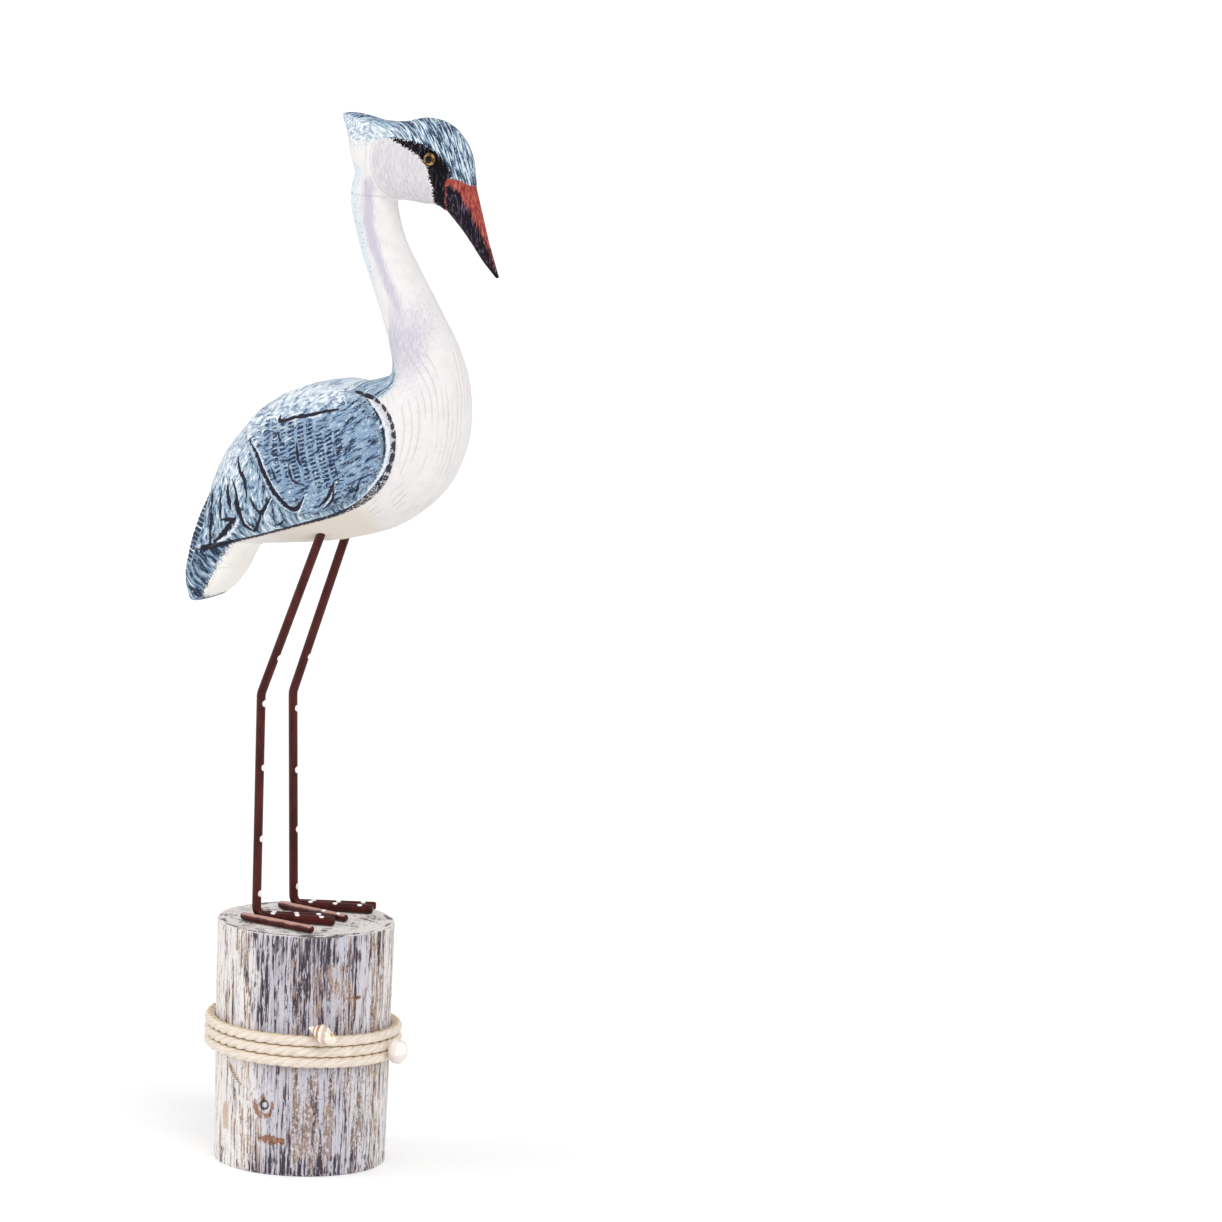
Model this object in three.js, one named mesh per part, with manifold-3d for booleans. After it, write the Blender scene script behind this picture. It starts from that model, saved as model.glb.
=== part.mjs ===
// A painted wooden heron on two bent metal legs, standing on a round whitewashed post with a rope round it
// and two sea shells on the rope.
// Millimetres, +Z up. The origin is the centre of the post's underside, the bird looks along +X, and its
// plane of symmetry is Y = 0, with its right side at -Y.

import * as THREE from "three";
import { mergeVertices } from "three/addons/utils/BufferGeometryUtils.js";
import Module from "manifold-3d";

const wasm = await Module();
wasm.setup();

// Driving dimensions
const POST = { height: 113, topRadius: 41, footRadius: 39.8, chamfer: 1, sides: 40 };
const ROPE = { radius: 2.5, pitch: 5.05, turns: 3, startHeight: 67.4, startAngle: 116, sides: 8, steps: 24 };
const ROD = { legRadius: 2.1, toeRadius: 1.85, kneeBend: 9, ankleBend: 5, bendSteps: 4, sides: 10 };
const EYE = { radius: 3.3, dome: 1.6, seat: 1.6, x: 56.5, y: 11.2, z: 471, sides: 16 };
const GAP = 0.3; // clearance between pieces that touch
const LEG_SOCKET = 13; // depth of the drilled holes in the belly
const WING_LIFT = 1.2; // height of the folded wing over the body
const COVERT_LIFT = 2.1; // height of the wing's front part over the body
const CHEEK_LIFT = 0.8; // height of the cheek over the head

// Stations of the neck, body and tail: a point on the front or belly line, the facing point on the back
// line, the half width across, and how round the section is towards the front and towards the back
// (1 is round, less is squarer). They fan round the notch where the neck meets the back.
const TRUNK = [
  // frontX, frontZ, backX, backZ, halfWidth, frontRound, backRound
  [35, 459, 16, 466, 8.5, 1, 1],
  [35.5, 447, 13, 452, 9.3, 1, 1],
  [40, 432, 17, 432, 9.8, 1, 1],
  [49, 416.5, 23.5, 415, 10.5, 1, 1],
  [59, 400, 30, 399, 12, 1, 1],
  [67.5, 385, 35, 385, 15, 1, 1],
  [71.5, 371, 38, 374.5, 19.5, 0.95, 1],
  [72.6, 355, 37.3, 371, 24.5, 0.95, 0.95],
  [70.5, 337, 33, 369.2, 28.5, 0.95, 0.9],
  [61.5, 318, 25.5, 366.8, 31, 0.92, 0.85],
  [42, 301.5, 13, 364.5, 32, 0.92, 0.85],
  [19, 293.5, -1, 361.5, 32, 0.9, 0.85],
  [0, 290, -15.5, 355.5, 30, 0.88, 0.85],
  [-14, 288.3, -29, 345.5, 27.5, 0.85, 0.85],
  [-24, 287.3, -40.5, 331.5, 24.5, 0.8, 0.85],
  [-31, 285, -49, 315, 21.8, 0.75, 0.85],
  [-35.5, 279.5, -56.5, 297.5, 19.6, 0.65, 0.75],
  [-40, 271.5, -60.8, 281, 18.2, 0.55, 0.65],
  [-46, 263.8, -61.6, 267.5, 17, 0.5, 0.65],
  [-53, 258.6, -58.5, 259.6, 15.3, 0.5, 0.7],
];

// Stations of the head and beak: a point on the crown line, the facing point on the throat line, the
// half width across, and the roundness towards the crown and towards the throat. They run from the
// tip of the crest to the tip of the beak.
const HEAD = [
  // crownX, crownZ, throatX, throatZ, halfWidth, crownRound, throatRound
  [7.5, 488, 8, 485, 2.2, 0.6, 1],
  [13, 488.3, 11, 477.5, 5, 0.6, 1],
  [20, 487.3, 12.5, 468, 7.2, 0.65, 1],
  [28, 485.8, 17.5, 457.5, 9.5, 0.8, 1],
  [38, 486, 29, 450.5, 11.6, 0.9, 0.85],
  [50, 488.5, 41, 450.3, 12.4, 0.9, 0.8],
  [60, 486.6, 49.5, 450, 12, 0.9, 0.8],
  [67.5, 480.5, 54.5, 449.5, 10.6, 0.9, 0.8],
  [72, 471.5, 57.8, 449, 9, 0.85, 0.8],
  [73.6, 463, 60, 447.6, 7.6, 0.8, 0.8],
  [74.2, 460.5, 61, 446.8, 6.5, 0.8, 0.8],
  [77.5, 449, 66.8, 440.6, 5.4, 0.75, 0.8],
  [81.3, 437, 73.6, 432.3, 4.1, 0.75, 0.8],
  [85, 427, 79.8, 424.4, 2.7, 0.75, 0.8],
  [88.4, 418.5, 86.3, 417.4, 1.2, 0.9, 0.9],
];

// The folded wing and its front part as seen from the side, [x, z]. Where they pass over the back, the
// outlines run clear of the body.
const WING = [
  [30, 376], [34, 363], [42.5, 358], [48, 351], [50.2, 343], [49.6, 334], [46.4, 326], [40, 318.7],
  [27, 309.3], [2, 300.4], [-25.5, 291.5], [-50.5, 284], [-70, 290], [-75, 330], [-40, 375],
];
const COVERT = [
  [27, 376], [31, 361.5], [39, 355.5], [44.5, 348.5], [46.8, 341.5], [46, 334], [43, 327.5], [37, 321],
  [26, 313.8], [14, 309], [1.5, 307.3], [-4.5, 309.7], [-8.8, 314], [-12.7, 320], [-16.3, 326.7],
  [-20.8, 332.2], [-26, 340], [-33, 356], [-20, 372],
];
// The gap between the wing tips over the tail as seen from behind, [y, z].
const WING_PARTING = [
  [0, 340], [-11, 326], [-18.5, 309], [-19.5, 296], [-17.5, 276], [17.5, 276], [19.5, 296], [18.5, 309],
  [11, 326],
];
// Gouged lines between the feathers of the folded wing, and the line of the mouth, each as [x, z] points.
const FEATHER_LINES = [
  {
    path: [[-26, 339], [-21.5, 331.4], [-16.2, 326], [-12.5, 319.5], [-7.6, 312.7], [-2, 309], [5, 308]],
    width: 2,
  },
  { path: [[-9, 347.5], [6, 350.5], [21, 354], [25, 358]], width: 1.8 },
  { path: [[-35, 318], [-28.5, 310], [-28.2, 301], [-23.5, 294.6]], width: 2.2 },
  { path: [[-22.5, 313.5], [-20.2, 306.8], [-15.8, 303.8]], width: 2.2 },
  { path: [[-29.5, 300.6], [-36, 297], [-43, 288.5]], width: 2.2 },
  { path: [[-9.8, 313.4], [-14.4, 306], [-16.4, 297]], width: 1.8 },
  { path: [[6, 315], [2.6, 309], [0.5, 303]], width: 1.8 },
  { path: [[21.8, 323], [17.2, 315], [12.8, 308.4]], width: 1.6 },
];
const MOUTH_LINE = { path: [[60.5, 450.3], [69.5, 438.4], [78, 428], [85.5, 419.6]], width: 1 };
const LINE_FLOOR = { wing: 0.2, mouth: -0.5 }; // how far the gouges stop from the plain body and head

const CHEEK = { x: 43, z: 464.3, long: 17.5, high: 12.8, tilt: -0.12, sides: 24 };

// Legs: belly exit, knee and ankle as [x, z], the distance from the plane of symmetry, and each toe as
// [forward, outward] from the ankle.
const LEGS = [
  {
    name: "right",
    side: -1,
    offset: 16.5,
    belly: [8.6, 292.4],
    knee: [-18.2, 219.4],
    ankle: -17.6,
    middle: [36.2, -8],
    outer: [[-5.7, 3.1], [35.4, 13.3]],
    inner: [[-1, -4.5], [30.5, -15.4]],
  },
  {
    name: "left",
    side: 1,
    offset: 16.5,
    belly: [5.3, 287],
    knee: [-18.2, 215.5],
    ankle: -14.8,
    middle: [36.3, 9.4],
    outer: [[-1, 4.5], [33.5, 18.9]],
    inner: [[-5.6, -3.1], [34.4, -14.6]],
  },
];

// Shells: where each sits on the rope (compass angle, distance from the post's axis, height), and its
// profile as [distance along the shell's axis, radius] from the tip of the spire to the mouth's end.
const SHELLS = [
  {
    name: "spiral",
    angle: 306.6,
    reach: 49.7,
    height: 69.6,
    tip: [-0.97, -0.05, 0.24],
    profile: [
      [-7.1, 0], [-6.4, 0.9], [-5.6, 1.1], [-4.9, 2.1], [-4.1, 2.3], [-3.1, 3.6], [-2.1, 3.8], [-0.8, 4.9],
      [0.9, 5.1], [2.6, 4.9], [4.4, 4.1], [5.9, 2.7], [6.9, 0],
    ],
  },
  {
    name: "round",
    angle: -4.9,
    reach: 50.8,
    height: 56.3,
    tip: [0.12, -0.25, 0.96],
    profile: [
      [-5.9, 0], [-5.6, 0.8], [-4.9, 1.2], [-4.4, 2.3], [-3.4, 3.0], [-2, 3.9], [-0.2, 4.5], [1.6, 4.4],
      [3.4, 3.7], [4.9, 2.5], [5.8, 0],
    ],
  },
];

// A closed skin through rings of points, each ring as long as the next, with a fan of faces over both ends.
function loft(rings) {
  const around = rings[0].length;
  const points = rings.flat();
  const faces = [];
  for (let i = 0; i + 1 < rings.length; i++) {
    for (let j = 0; j < around; j++) {
      const a = i * around + j;
      const b = i * around + ((j + 1) % around);
      faces.push(a, b, a + around, b, b + around, a + around);
    }
  }
  for (const [first, flip] of [[0, false], [(rings.length - 1) * around, true]]) {
    const ring = points.slice(first, first + around);
    const middle = ring.reduce((sum, p) => sum.add(p), new THREE.Vector3()).divideScalar(around);
    const hub = points.push(middle) - 1;
    for (let j = 0; j < around; j++) {
      const a = first + j;
      const b = first + ((j + 1) % around);
      faces.push(hub, ...(flip ? [a, b] : [b, a]));
    }
  }
  return new THREE.BufferGeometry().setFromPoints(points).setIndex(faces);
}

// A geometry as a manifold solid, so that it can be joined and cut.
function toSolid(geometry) {
  const bare = geometry.clone();
  bare.deleteAttribute("normal");
  bare.deleteAttribute("uv");
  const merged = mergeVertices(bare, 1e-4);
  return new wasm.Manifold(
    new wasm.Mesh({
      numProp: 3,
      vertProperties: new Float32Array(merged.attributes.position.array),
      triVerts: new Uint32Array(merged.index.array),
    }),
  );
}

// The geometry of a manifold solid.
function toGeometry(solid) {
  const mesh = solid.getMesh();
  const geometry = new THREE.BufferGeometry();
  geometry.setAttribute("position", new THREE.BufferAttribute(mesh.vertProperties, mesh.numProp));
  geometry.setIndex(new THREE.BufferAttribute(mesh.triVerts, 1));
  return geometry;
}

// Rings across a carved form that is symmetric in Y, through its stations. The outline is pushed out all
// round by grow.
function carvedRings(stations, { rings, around, grow = 0 }) {
  const curve = (x, y, z) =>
    new THREE.CatmullRomCurve3(stations.map((s) => new THREE.Vector3(s[x], s[y], s[z])));
  const fronts = curve(0, 5, 1);
  const backs = curve(2, 6, 3);
  const widths = curve(4, 4, 4);
  return Array.from({ length: rings }, (_, i) => {
    const t = i / (rings - 1);
    const front = fronts.getPoint(t);
    const back = backs.getPoint(t);
    const width = widths.getPoint(t).x + grow;
    const round = { front: front.y, back: back.y };
    front.y = 0;
    back.y = 0;
    const middle = front.clone().add(back).multiplyScalar(0.5);
    const reach = front.clone().sub(middle);
    reach.setLength(reach.length() + grow);
    return Array.from({ length: around }, (_, j) => {
      const angle = (j / around) * 2 * Math.PI;
      const power = Math.cos(angle) > 0 ? round.front : round.back;
      const bulge = (value) => Math.sign(value) * Math.abs(value) ** power;
      const point = middle.clone().addScaledVector(reach, bulge(Math.cos(angle)));
      point.y = -width * bulge(Math.sin(angle));
      return point;
    });
  });
}

function trunk(grow = 0) {
  return toSolid(loft(carvedRings(TRUNK, { rings: 32, around: 24, grow })));
}

function head(grow = 0) {
  return toSolid(loft(carvedRings(HEAD, { rings: 28, around: 18, grow })));
}

// A flat outline [x, z] pushed through the whole bird across Y, smoothed to the given number of points.
function sideCutter(outline, count) {
  const smooth = new THREE.CatmullRomCurve3(
    outline.map(([x, z]) => new THREE.Vector3(x, z, 0)),
    true,
  ).getPoints(count);
  const shape = new THREE.Shape(smooth.slice(0, -1).map((p) => new THREE.Vector2(p.x, p.y)));
  const cutter = new THREE.ExtrudeGeometry(shape, { depth: 100, bevelEnabled: false });
  return toSolid(cutter.translate(0, 0, -50).rotateX(Math.PI / 2));
}

// The gap between the wing tips, pushed through from behind along X.
function partingCutter() {
  const shape = new THREE.Shape(WING_PARTING.map(([y, z]) => new THREE.Vector2(y, z)));
  const cutter = new THREE.ExtrudeGeometry(shape, { depth: 60, bevelEnabled: false });
  cutter.rotateY(Math.PI / 2).rotateX(Math.PI / 2);
  return toSolid(cutter.translate(-98, 0, 0));
}

// A gouged line pushed through the whole bird across Y, widest in its middle and pointed at both ends.
function gouge({ path, width }) {
  const line = new THREE.CatmullRomCurve3(path.map(([x, z]) => new THREE.Vector3(x, z, 0)));
  const steps = 6;
  const edges = [[], []];
  for (let i = 0; i <= steps; i++) {
    const t = i / steps;
    const point = line.getPoint(t);
    const across = line.getTangent(t).cross(new THREE.Vector3(0, 0, 1));
    const half = 0.08 + (width / 2) * Math.sin(Math.PI * t);
    edges[0].push(point.clone().addScaledVector(across, half));
    edges[1].unshift(point.clone().addScaledVector(across, -half));
  }
  const shape = new THREE.Shape(edges.flat().map((p) => new THREE.Vector2(p.x, p.y)));
  const cutter = new THREE.ExtrudeGeometry(shape, { depth: 100, bevelEnabled: false });
  return toSolid(cutter.translate(0, 0, -50).rotateX(Math.PI / 2));
}

function cheekOutline() {
  const { x, z, long, high, tilt, sides } = CHEEK;
  return Array.from({ length: sides }, (_, i) => {
    const angle = (i / sides) * 2 * Math.PI;
    const across = long * Math.cos(angle);
    const up = high * Math.sin(angle);
    return [
      x + across * Math.cos(tilt) - up * Math.sin(tilt),
      z + across * Math.sin(tilt) + up * Math.cos(tilt),
    ];
  });
}

// A straight round cutter from one point to another.
function roundCutter(from, to, radius, sides) {
  const axis = to.clone().sub(from);
  const cutter = new THREE.CylinderGeometry(radius, radius, axis.length(), sides);
  const along = axis.normalize();
  cutter.applyQuaternion(new THREE.Quaternion().setFromUnitVectors(new THREE.Vector3(0, 1, 0), along));
  const middle = from.clone().add(to).multiplyScalar(0.5);
  return toSolid(cutter.translate(middle.x, middle.y, middle.z));
}

// The thigh's axis: where it leaves the belly, and its direction up into the body.
function thigh(leg) {
  const exit = new THREE.Vector3(leg.belly[0], leg.side * leg.offset, leg.belly[1]);
  const knee = new THREE.Vector3(leg.knee[0], leg.side * leg.offset, leg.knee[1]);
  return { exit, knee, up: exit.clone().sub(knee).normalize() };
}

function bird() {
  const wings = trunk(WING_LIFT).intersect(sideCutter(WING, 48)).subtract(partingCutter());
  const coverts = trunk(COVERT_LIFT).intersect(sideCutter(COVERT, 48));
  const cheeks = head(CHEEK_LIFT).intersect(sideCutter(cheekOutline(), CHEEK.sides));
  let solid = trunk().add(head()).add(wings).add(coverts).add(cheeks);
  const wingFloor = trunk(LINE_FLOOR.wing);
  for (const line of FEATHER_LINES) {
    solid = solid.subtract(gouge(line).subtract(wingFloor));
  }
  solid = solid.subtract(gouge(MOUTH_LINE).subtract(head(LINE_FLOOR.mouth)));
  for (const side of [-1, 1]) {
    const seat = new THREE.Vector3(EYE.x, side * (EYE.y - EYE.seat - GAP), EYE.z);
    const out = new THREE.Vector3(EYE.x, side * 30, EYE.z);
    solid = solid.subtract(roundCutter(seat, out, EYE.radius + GAP, EYE.sides));
  }
  for (const leg of LEGS) {
    const { exit, up } = thigh(leg);
    const top = exit.clone().addScaledVector(up, LEG_SOCKET + GAP);
    const below = exit.clone().addScaledVector(up, -20);
    solid = solid.subtract(roundCutter(below, top, ROD.legRadius + GAP, ROD.sides + 2));
  }
  return toGeometry(solid);
}

// A glass eye: a flat-backed button with a domed front, its back in the socket.
function eye(side) {
  const profile = [new THREE.Vector2(0, 0), new THREE.Vector2(EYE.radius, 0)];
  const domeSteps = 4;
  for (let i = 0; i <= domeSteps; i++) {
    const angle = (i / domeSteps) * (Math.PI / 2);
    profile.push(new THREE.Vector2(EYE.radius * Math.cos(angle), EYE.seat + EYE.dome * Math.sin(angle)));
  }
  profile[profile.length - 1].x = 0;
  const button = new THREE.LatheGeometry(profile, EYE.sides);
  button.rotateX(side > 0 ? 0 : Math.PI);
  return button.translate(EYE.x, side * (EYE.y - EYE.seat), EYE.z);
}

// A round rod along straight runs, with an arc of the given radius at each inner corner.
function rod(corners, radius, bends) {
  const path = [corners[0]];
  corners.slice(1, -1).forEach((corner, i) => {
    const back = corners[i].clone().sub(corner).normalize();
    const on = corners[i + 2].clone().sub(corner).normalize();
    const turn = Math.PI - back.angleTo(on);
    const cut = bends[i] * Math.tan(turn / 2);
    const arc = new THREE.QuadraticBezierCurve3(
      corner.clone().addScaledVector(back, cut),
      corner,
      corner.clone().addScaledVector(on, cut),
    );
    path.push(...arc.getPoints(ROD.bendSteps));
  });
  path.push(corners[corners.length - 1]);
  return loft(tubeRings(path, radius, ROD.sides));
}

// Circles along a path of points, each square to the path.
function tubeRings(path, radius, sides) {
  return path.map((point, i) => {
    const before = path[Math.max(i - 1, 0)];
    const after = path[Math.min(i + 1, path.length - 1)];
    const into = i ? point.clone().sub(before).normalize() : after.clone().sub(point).normalize();
    const outof = i + 1 < path.length ? after.clone().sub(point).normalize() : into;
    const along = into.clone().add(outof).normalize();
    const across = new THREE.Vector3(0, 1, 0).cross(along).normalize();
    const other = along.clone().cross(across);
    return Array.from({ length: sides }, (_, j) => {
      const angle = (j / sides) * 2 * Math.PI;
      return point
        .clone()
        .addScaledVector(across, radius * Math.cos(angle))
        .addScaledVector(other, radius * Math.sin(angle));
    });
  });
}

// A point on the post's top, measured from a leg's ankle, at the height of a rod lying there.
function onPost(leg, [forward, outward], radius) {
  const y = leg.side * (leg.offset + outward);
  return new THREE.Vector3(leg.ankle + forward, y, POST.height + GAP + radius);
}

// One rod: up into the belly, bent at the knee, down to the post and bent forward as the middle toe.
function legRod(leg) {
  const { exit, knee, up } = thigh(leg);
  const top = exit.clone().addScaledVector(up, LEG_SOCKET);
  const ankle = onPost(leg, [0, 0], ROD.legRadius);
  const tip = onPost(leg, leg.middle, ROD.legRadius);
  return rod([top, knee, ankle, tip], ROD.legRadius, [ROD.kneeBend, ROD.ankleBend]);
}

function toeRod(leg, ends) {
  const [heel, tip] = ends.map((end) => onPost(leg, end, ROD.toeRadius));
  return loft(tubeRings([heel, tip], ROD.toeRadius, ROD.sides));
}

function post() {
  const { height, topRadius, footRadius, chamfer, sides } = POST;
  const profile = [
    [0, 0],
    [footRadius - chamfer, 0],
    [footRadius, chamfer],
    [topRadius, height - chamfer],
    [topRadius - chamfer, height],
    [0, height],
  ].map(([r, z]) => new THREE.Vector2(r, z));
  return new THREE.LatheGeometry(profile, sides).rotateX(Math.PI / 2);
}

// The rope as one round tube, wound down the post turn under turn.
function rope() {
  const { radius, pitch, turns, startHeight, startAngle, sides, steps } = ROPE;
  const wound = POST.topRadius - 0.4 + GAP + radius;
  const rings = Array.from({ length: turns * steps + 1 }, (_, i) => {
    const turn = i / steps;
    const angle = THREE.MathUtils.degToRad(startAngle + 360 * turn);
    return Array.from({ length: sides }, (_, j) => {
      const around = ((j + 0.5) / sides) * 2 * Math.PI;
      const distance = wound + radius * Math.cos(around);
      const height = startHeight - turn * pitch - radius * Math.sin(around);
      return new THREE.Vector3(distance * Math.cos(angle), distance * Math.sin(angle), height);
    });
  });
  return loft(rings);
}

// A sea shell turned about its own axis and set on the rope, the tip of its spire pointing the given way.
function shell({ angle, reach, height, tip, profile }) {
  const outline = profile.map(([along, radius]) => new THREE.Vector2(radius, along));
  const turned = new THREE.LatheGeometry(outline, 16);
  const down = new THREE.Vector3(...tip).normalize().negate();
  turned.applyQuaternion(new THREE.Quaternion().setFromUnitVectors(new THREE.Vector3(0, 1, 0), down));
  const compass = THREE.MathUtils.degToRad(angle);
  return turned.translate(reach * Math.cos(compass), reach * Math.sin(compass), height);
}

const PAINT = {
  bird: { color: 0xdcdfe2, roughness: 0.75, metalness: 0 },
  eye: { color: 0x8a6a2c, roughness: 0.1, metalness: 0 },
  rod: { color: 0x4a2420, roughness: 0.45, metalness: 0.2 },
  post: { color: 0xb9b0a8, roughness: 0.9, metalness: 0 },
  rope: { color: 0xefe3cd, roughness: 0.95, metalness: 0 },
  shell: { color: 0xd9b79c, roughness: 0.4, metalness: 0 },
};

const figure = new THREE.Group();
function place(name, geometry, paint) {
  const mesh = new THREE.Mesh(geometry, new THREE.MeshStandardMaterial(paint));
  mesh.name = name;
  figure.add(mesh);
}

place("post", post(), PAINT.post);
place("rope", rope(), PAINT.rope);
place("bird", bird(), PAINT.bird);
for (const [name, side] of [["eye_right", -1], ["eye_left", 1]]) {
  place(name, eye(side), PAINT.eye);
}
for (const leg of LEGS) {
  place(`leg_${leg.name}`, legRod(leg), PAINT.rod);
  place(`toe_outer_${leg.name}`, toeRod(leg, leg.outer), PAINT.rod);
  place(`toe_inner_${leg.name}`, toeRod(leg, leg.inner), PAINT.rod);
}
for (const one of SHELLS) {
  place(`shell_${one.name}`, shell(one), PAINT.shell);
}

export default figure;
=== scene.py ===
import math

import bmesh
import bpy
import numpy as np
from mathutils import Matrix, Vector


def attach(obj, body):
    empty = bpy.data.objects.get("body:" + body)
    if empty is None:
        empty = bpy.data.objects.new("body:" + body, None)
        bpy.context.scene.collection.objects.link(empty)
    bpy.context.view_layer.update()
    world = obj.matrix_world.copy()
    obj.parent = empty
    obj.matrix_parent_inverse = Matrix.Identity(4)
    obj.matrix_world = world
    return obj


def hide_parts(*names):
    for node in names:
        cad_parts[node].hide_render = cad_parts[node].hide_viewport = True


# A painted wooden heron on bent rods, on a whitewashed post with a rope and two shells. Lengths in the
# tables are millimetres: the bird looks along +X, its right side is at -Y, the post's underside is Z = 0.
# Angles named compass or angle are degrees round the post, counted from +X towards +Y.

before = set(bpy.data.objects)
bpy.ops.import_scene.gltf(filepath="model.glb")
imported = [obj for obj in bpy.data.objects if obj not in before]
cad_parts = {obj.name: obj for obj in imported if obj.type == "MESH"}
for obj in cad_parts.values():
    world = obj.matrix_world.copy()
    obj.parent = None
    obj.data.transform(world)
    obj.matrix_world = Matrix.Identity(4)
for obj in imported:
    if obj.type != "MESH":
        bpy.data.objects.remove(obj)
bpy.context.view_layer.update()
MM = 0.001


# Camera: a long lens to the right of the bird and a little in front of it, above it, rolled slightly

CAMERA = {"place": (1497.06, -3069.42, 823.48), "aim": (122.35, 59.55, 261.33), "roll": 2.0}
LENS = {"long": 221.7, "sensor": 36, "far": 100}


def make_camera():
    place = Vector(CAMERA["place"]) * MM
    ahead = (Vector(CAMERA["aim"]) * MM - place).normalized()
    right = ahead.cross(Vector((0, 0, 1))).normalized()
    up = right.cross(ahead)
    roll = math.radians(CAMERA["roll"])
    across = right * math.cos(roll) + up * math.sin(roll)
    above = up * math.cos(roll) - right * math.sin(roll)
    data = bpy.data.cameras.new("camera")
    data.lens = LENS["long"]
    data.sensor_width = LENS["sensor"]
    data.clip_end = LENS["far"]
    camera = bpy.data.objects.new("camera", data)
    bpy.context.scene.collection.objects.link(camera)
    turn = Matrix((across, above, -ahead)).transposed()
    camera.matrix_world = Matrix.Translation(place) @ turn.to_4x4()
    bpy.context.scene.camera = camera


make_camera()


# Numbers over many points at once


def ramp(value, low, high):
    """0 up to low, 1 from high on, smooth between them."""
    share = np.clip((value - low) / (high - low), 0, 1)
    return share * share * (3 - 2 * share)


def bump(value, width):
    """1 at 0, falling off to nothing at about twice the width."""
    return np.exp(-((value / width) ** 2))


SEED_STEP = 17.31  # how far apart the noises of two seeds lie, in lumps
SCATTER = (73856093, 19349663, 83492791, 1274126177)  # large odd numbers that scatter the cells' values


def lumps(points, size, seed):
    """Smooth noise from -1 to 1 at points in mm, with lumps of about the given size in mm."""
    scaled = np.asarray(points, float) / size + seed * SEED_STEP
    cell = np.floor(scaled).astype(np.int64)
    part = scaled - cell
    part = part * part * (3 - 2 * part)
    total = np.zeros(len(scaled))
    for corner in range(8):
        step = np.array([corner & 1, corner >> 1 & 1, corner >> 2 & 1])
        place = cell + step
        hashed = place[:, 0] * SCATTER[0] ^ place[:, 1] * SCATTER[1] ^ place[:, 2] * SCATTER[2]
        hashed = (hashed ^ hashed >> 13) * SCATTER[3] & 0xFFFFFF
        weight = np.prod(np.where(step, part, 1 - part), axis=1)
        total += weight * (hashed / 0x7FFFFF - 1)
    return total


def noise(points, size, seed, layers=1):
    """Lumps with finer lumps on them, half as large and half as strong in each layer."""
    total = sum(lumps(points, size / 2**i, seed + i) / 2**i for i in range(layers))
    return total / sum(1 / 2**i for i in range(layers))


def through(points, count, closed=False):
    """A smooth line of count points through the given ones (centripetal Catmull-Rom)."""
    points = np.asarray(points, float)
    if closed:
        padded = np.vstack([points[-1], points, points[0], points[1]])
    else:
        padded = np.vstack([2 * points[0] - points[1], points, 2 * points[-1] - points[-2]])
    spans = len(padded) - 3
    along = np.linspace(0, spans, count, endpoint=not closed)
    index = np.minimum(along.astype(int), spans - 1)
    t = (along - index)[:, None]
    p0, p1, p2, p3 = (padded[index + k] for k in range(4))
    d0, d1, d2 = (
        np.maximum(np.linalg.norm(b - a, axis=1, keepdims=True) ** 0.5, 1e-4)
        for a, b in ((p0, p1), (p1, p2), (p2, p3))
    )
    leave = ((p1 - p0) / d0 - (p2 - p0) / (d0 + d1) + (p2 - p1) / d1) * d1
    reach = ((p2 - p1) / d1 - (p3 - p1) / (d1 + d2) + (p3 - p2) / d2) * d1
    return (
        p1 + leave * t
        + (3 * (p2 - p1) - 2 * leave - reach) * t**2
        + (2 * (p1 - p2) + leave + reach) * t**3
    )


def line_distance(flat, line):
    """Distance of flat points from a line of points, the share along it, and the side (left is 1)."""
    best = np.full(len(flat), 1e9)
    share = np.zeros(len(flat))
    side = np.ones(len(flat))
    for i, (a, b) in enumerate(zip(line[:-1], line[1:])):
        run = b - a
        t = np.clip((flat - a) @ run / (run @ run), 0, 1)
        off = flat - (a + t[:, None] * run)
        distance = np.hypot(off[:, 0], off[:, 1])
        nearer = distance < best
        best[nearer] = distance[nearer]
        share[nearer] = (i + t[nearer]) / (len(line) - 1)
        cross = run[0] * (flat[:, 1] - a[1]) - run[1] * (flat[:, 0] - a[0])
        side[nearer] = np.sign(cross[nearer])
    return best, share, side


def thin_ended(share, end, power=1.0):
    """1 in the middle of a line, falling off towards its two ends."""
    return np.sin(np.pi * np.clip(share, end, 1 - end)) ** power


def inside_by(flat, outline):
    """How far flat points lie inside a closed outline, negative outside it."""
    loop = np.vstack([outline, outline[:1]])
    distance, _, _ = line_distance(flat, loop)
    inside = np.zeros(len(flat), bool)
    for a, b in zip(loop[:-1], loop[1:]):
        spans = (a[1] > flat[:, 1]) != (b[1] > flat[:, 1])
        rise = b[1] - a[1]
        meets = a[0] + (flat[:, 1] - a[1]) / (rise if rise else 1e-9) * (b[0] - a[0])
        inside ^= spans & (flat[:, 0] < meets)
    return np.where(inside, distance, -distance)


# Pieces: a grid bent into shape, its edges joined


def bent_grid(bm, shape, around, along):
    """A grid bent round into a closed tube. shape turns the shares round it and along it into mm."""
    grid = bmesh.ops.create_grid(bm, x_segments=around, y_segments=along, size=1, calc_uvs=True)
    flat = np.array([v.co[:2] for v in grid["verts"]]) / 2 + 0.5
    for vertex, place in zip(grid["verts"], shape(flat[:, 0], flat[:, 1]) * MM):
        vertex.co = place


MERGE = 2e-6  # metres, between spots that are one


def close_up(bm):
    """Joins the seams, closes the open ends and turns every face outwards."""
    bmesh.ops.remove_doubles(bm, verts=bm.verts, dist=MERGE)
    bmesh.ops.holes_fill(bm, edges=[e for e in bm.edges if e.is_boundary], sides=0)
    bmesh.ops.recalc_face_normals(bm, faces=bm.faces)


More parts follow.
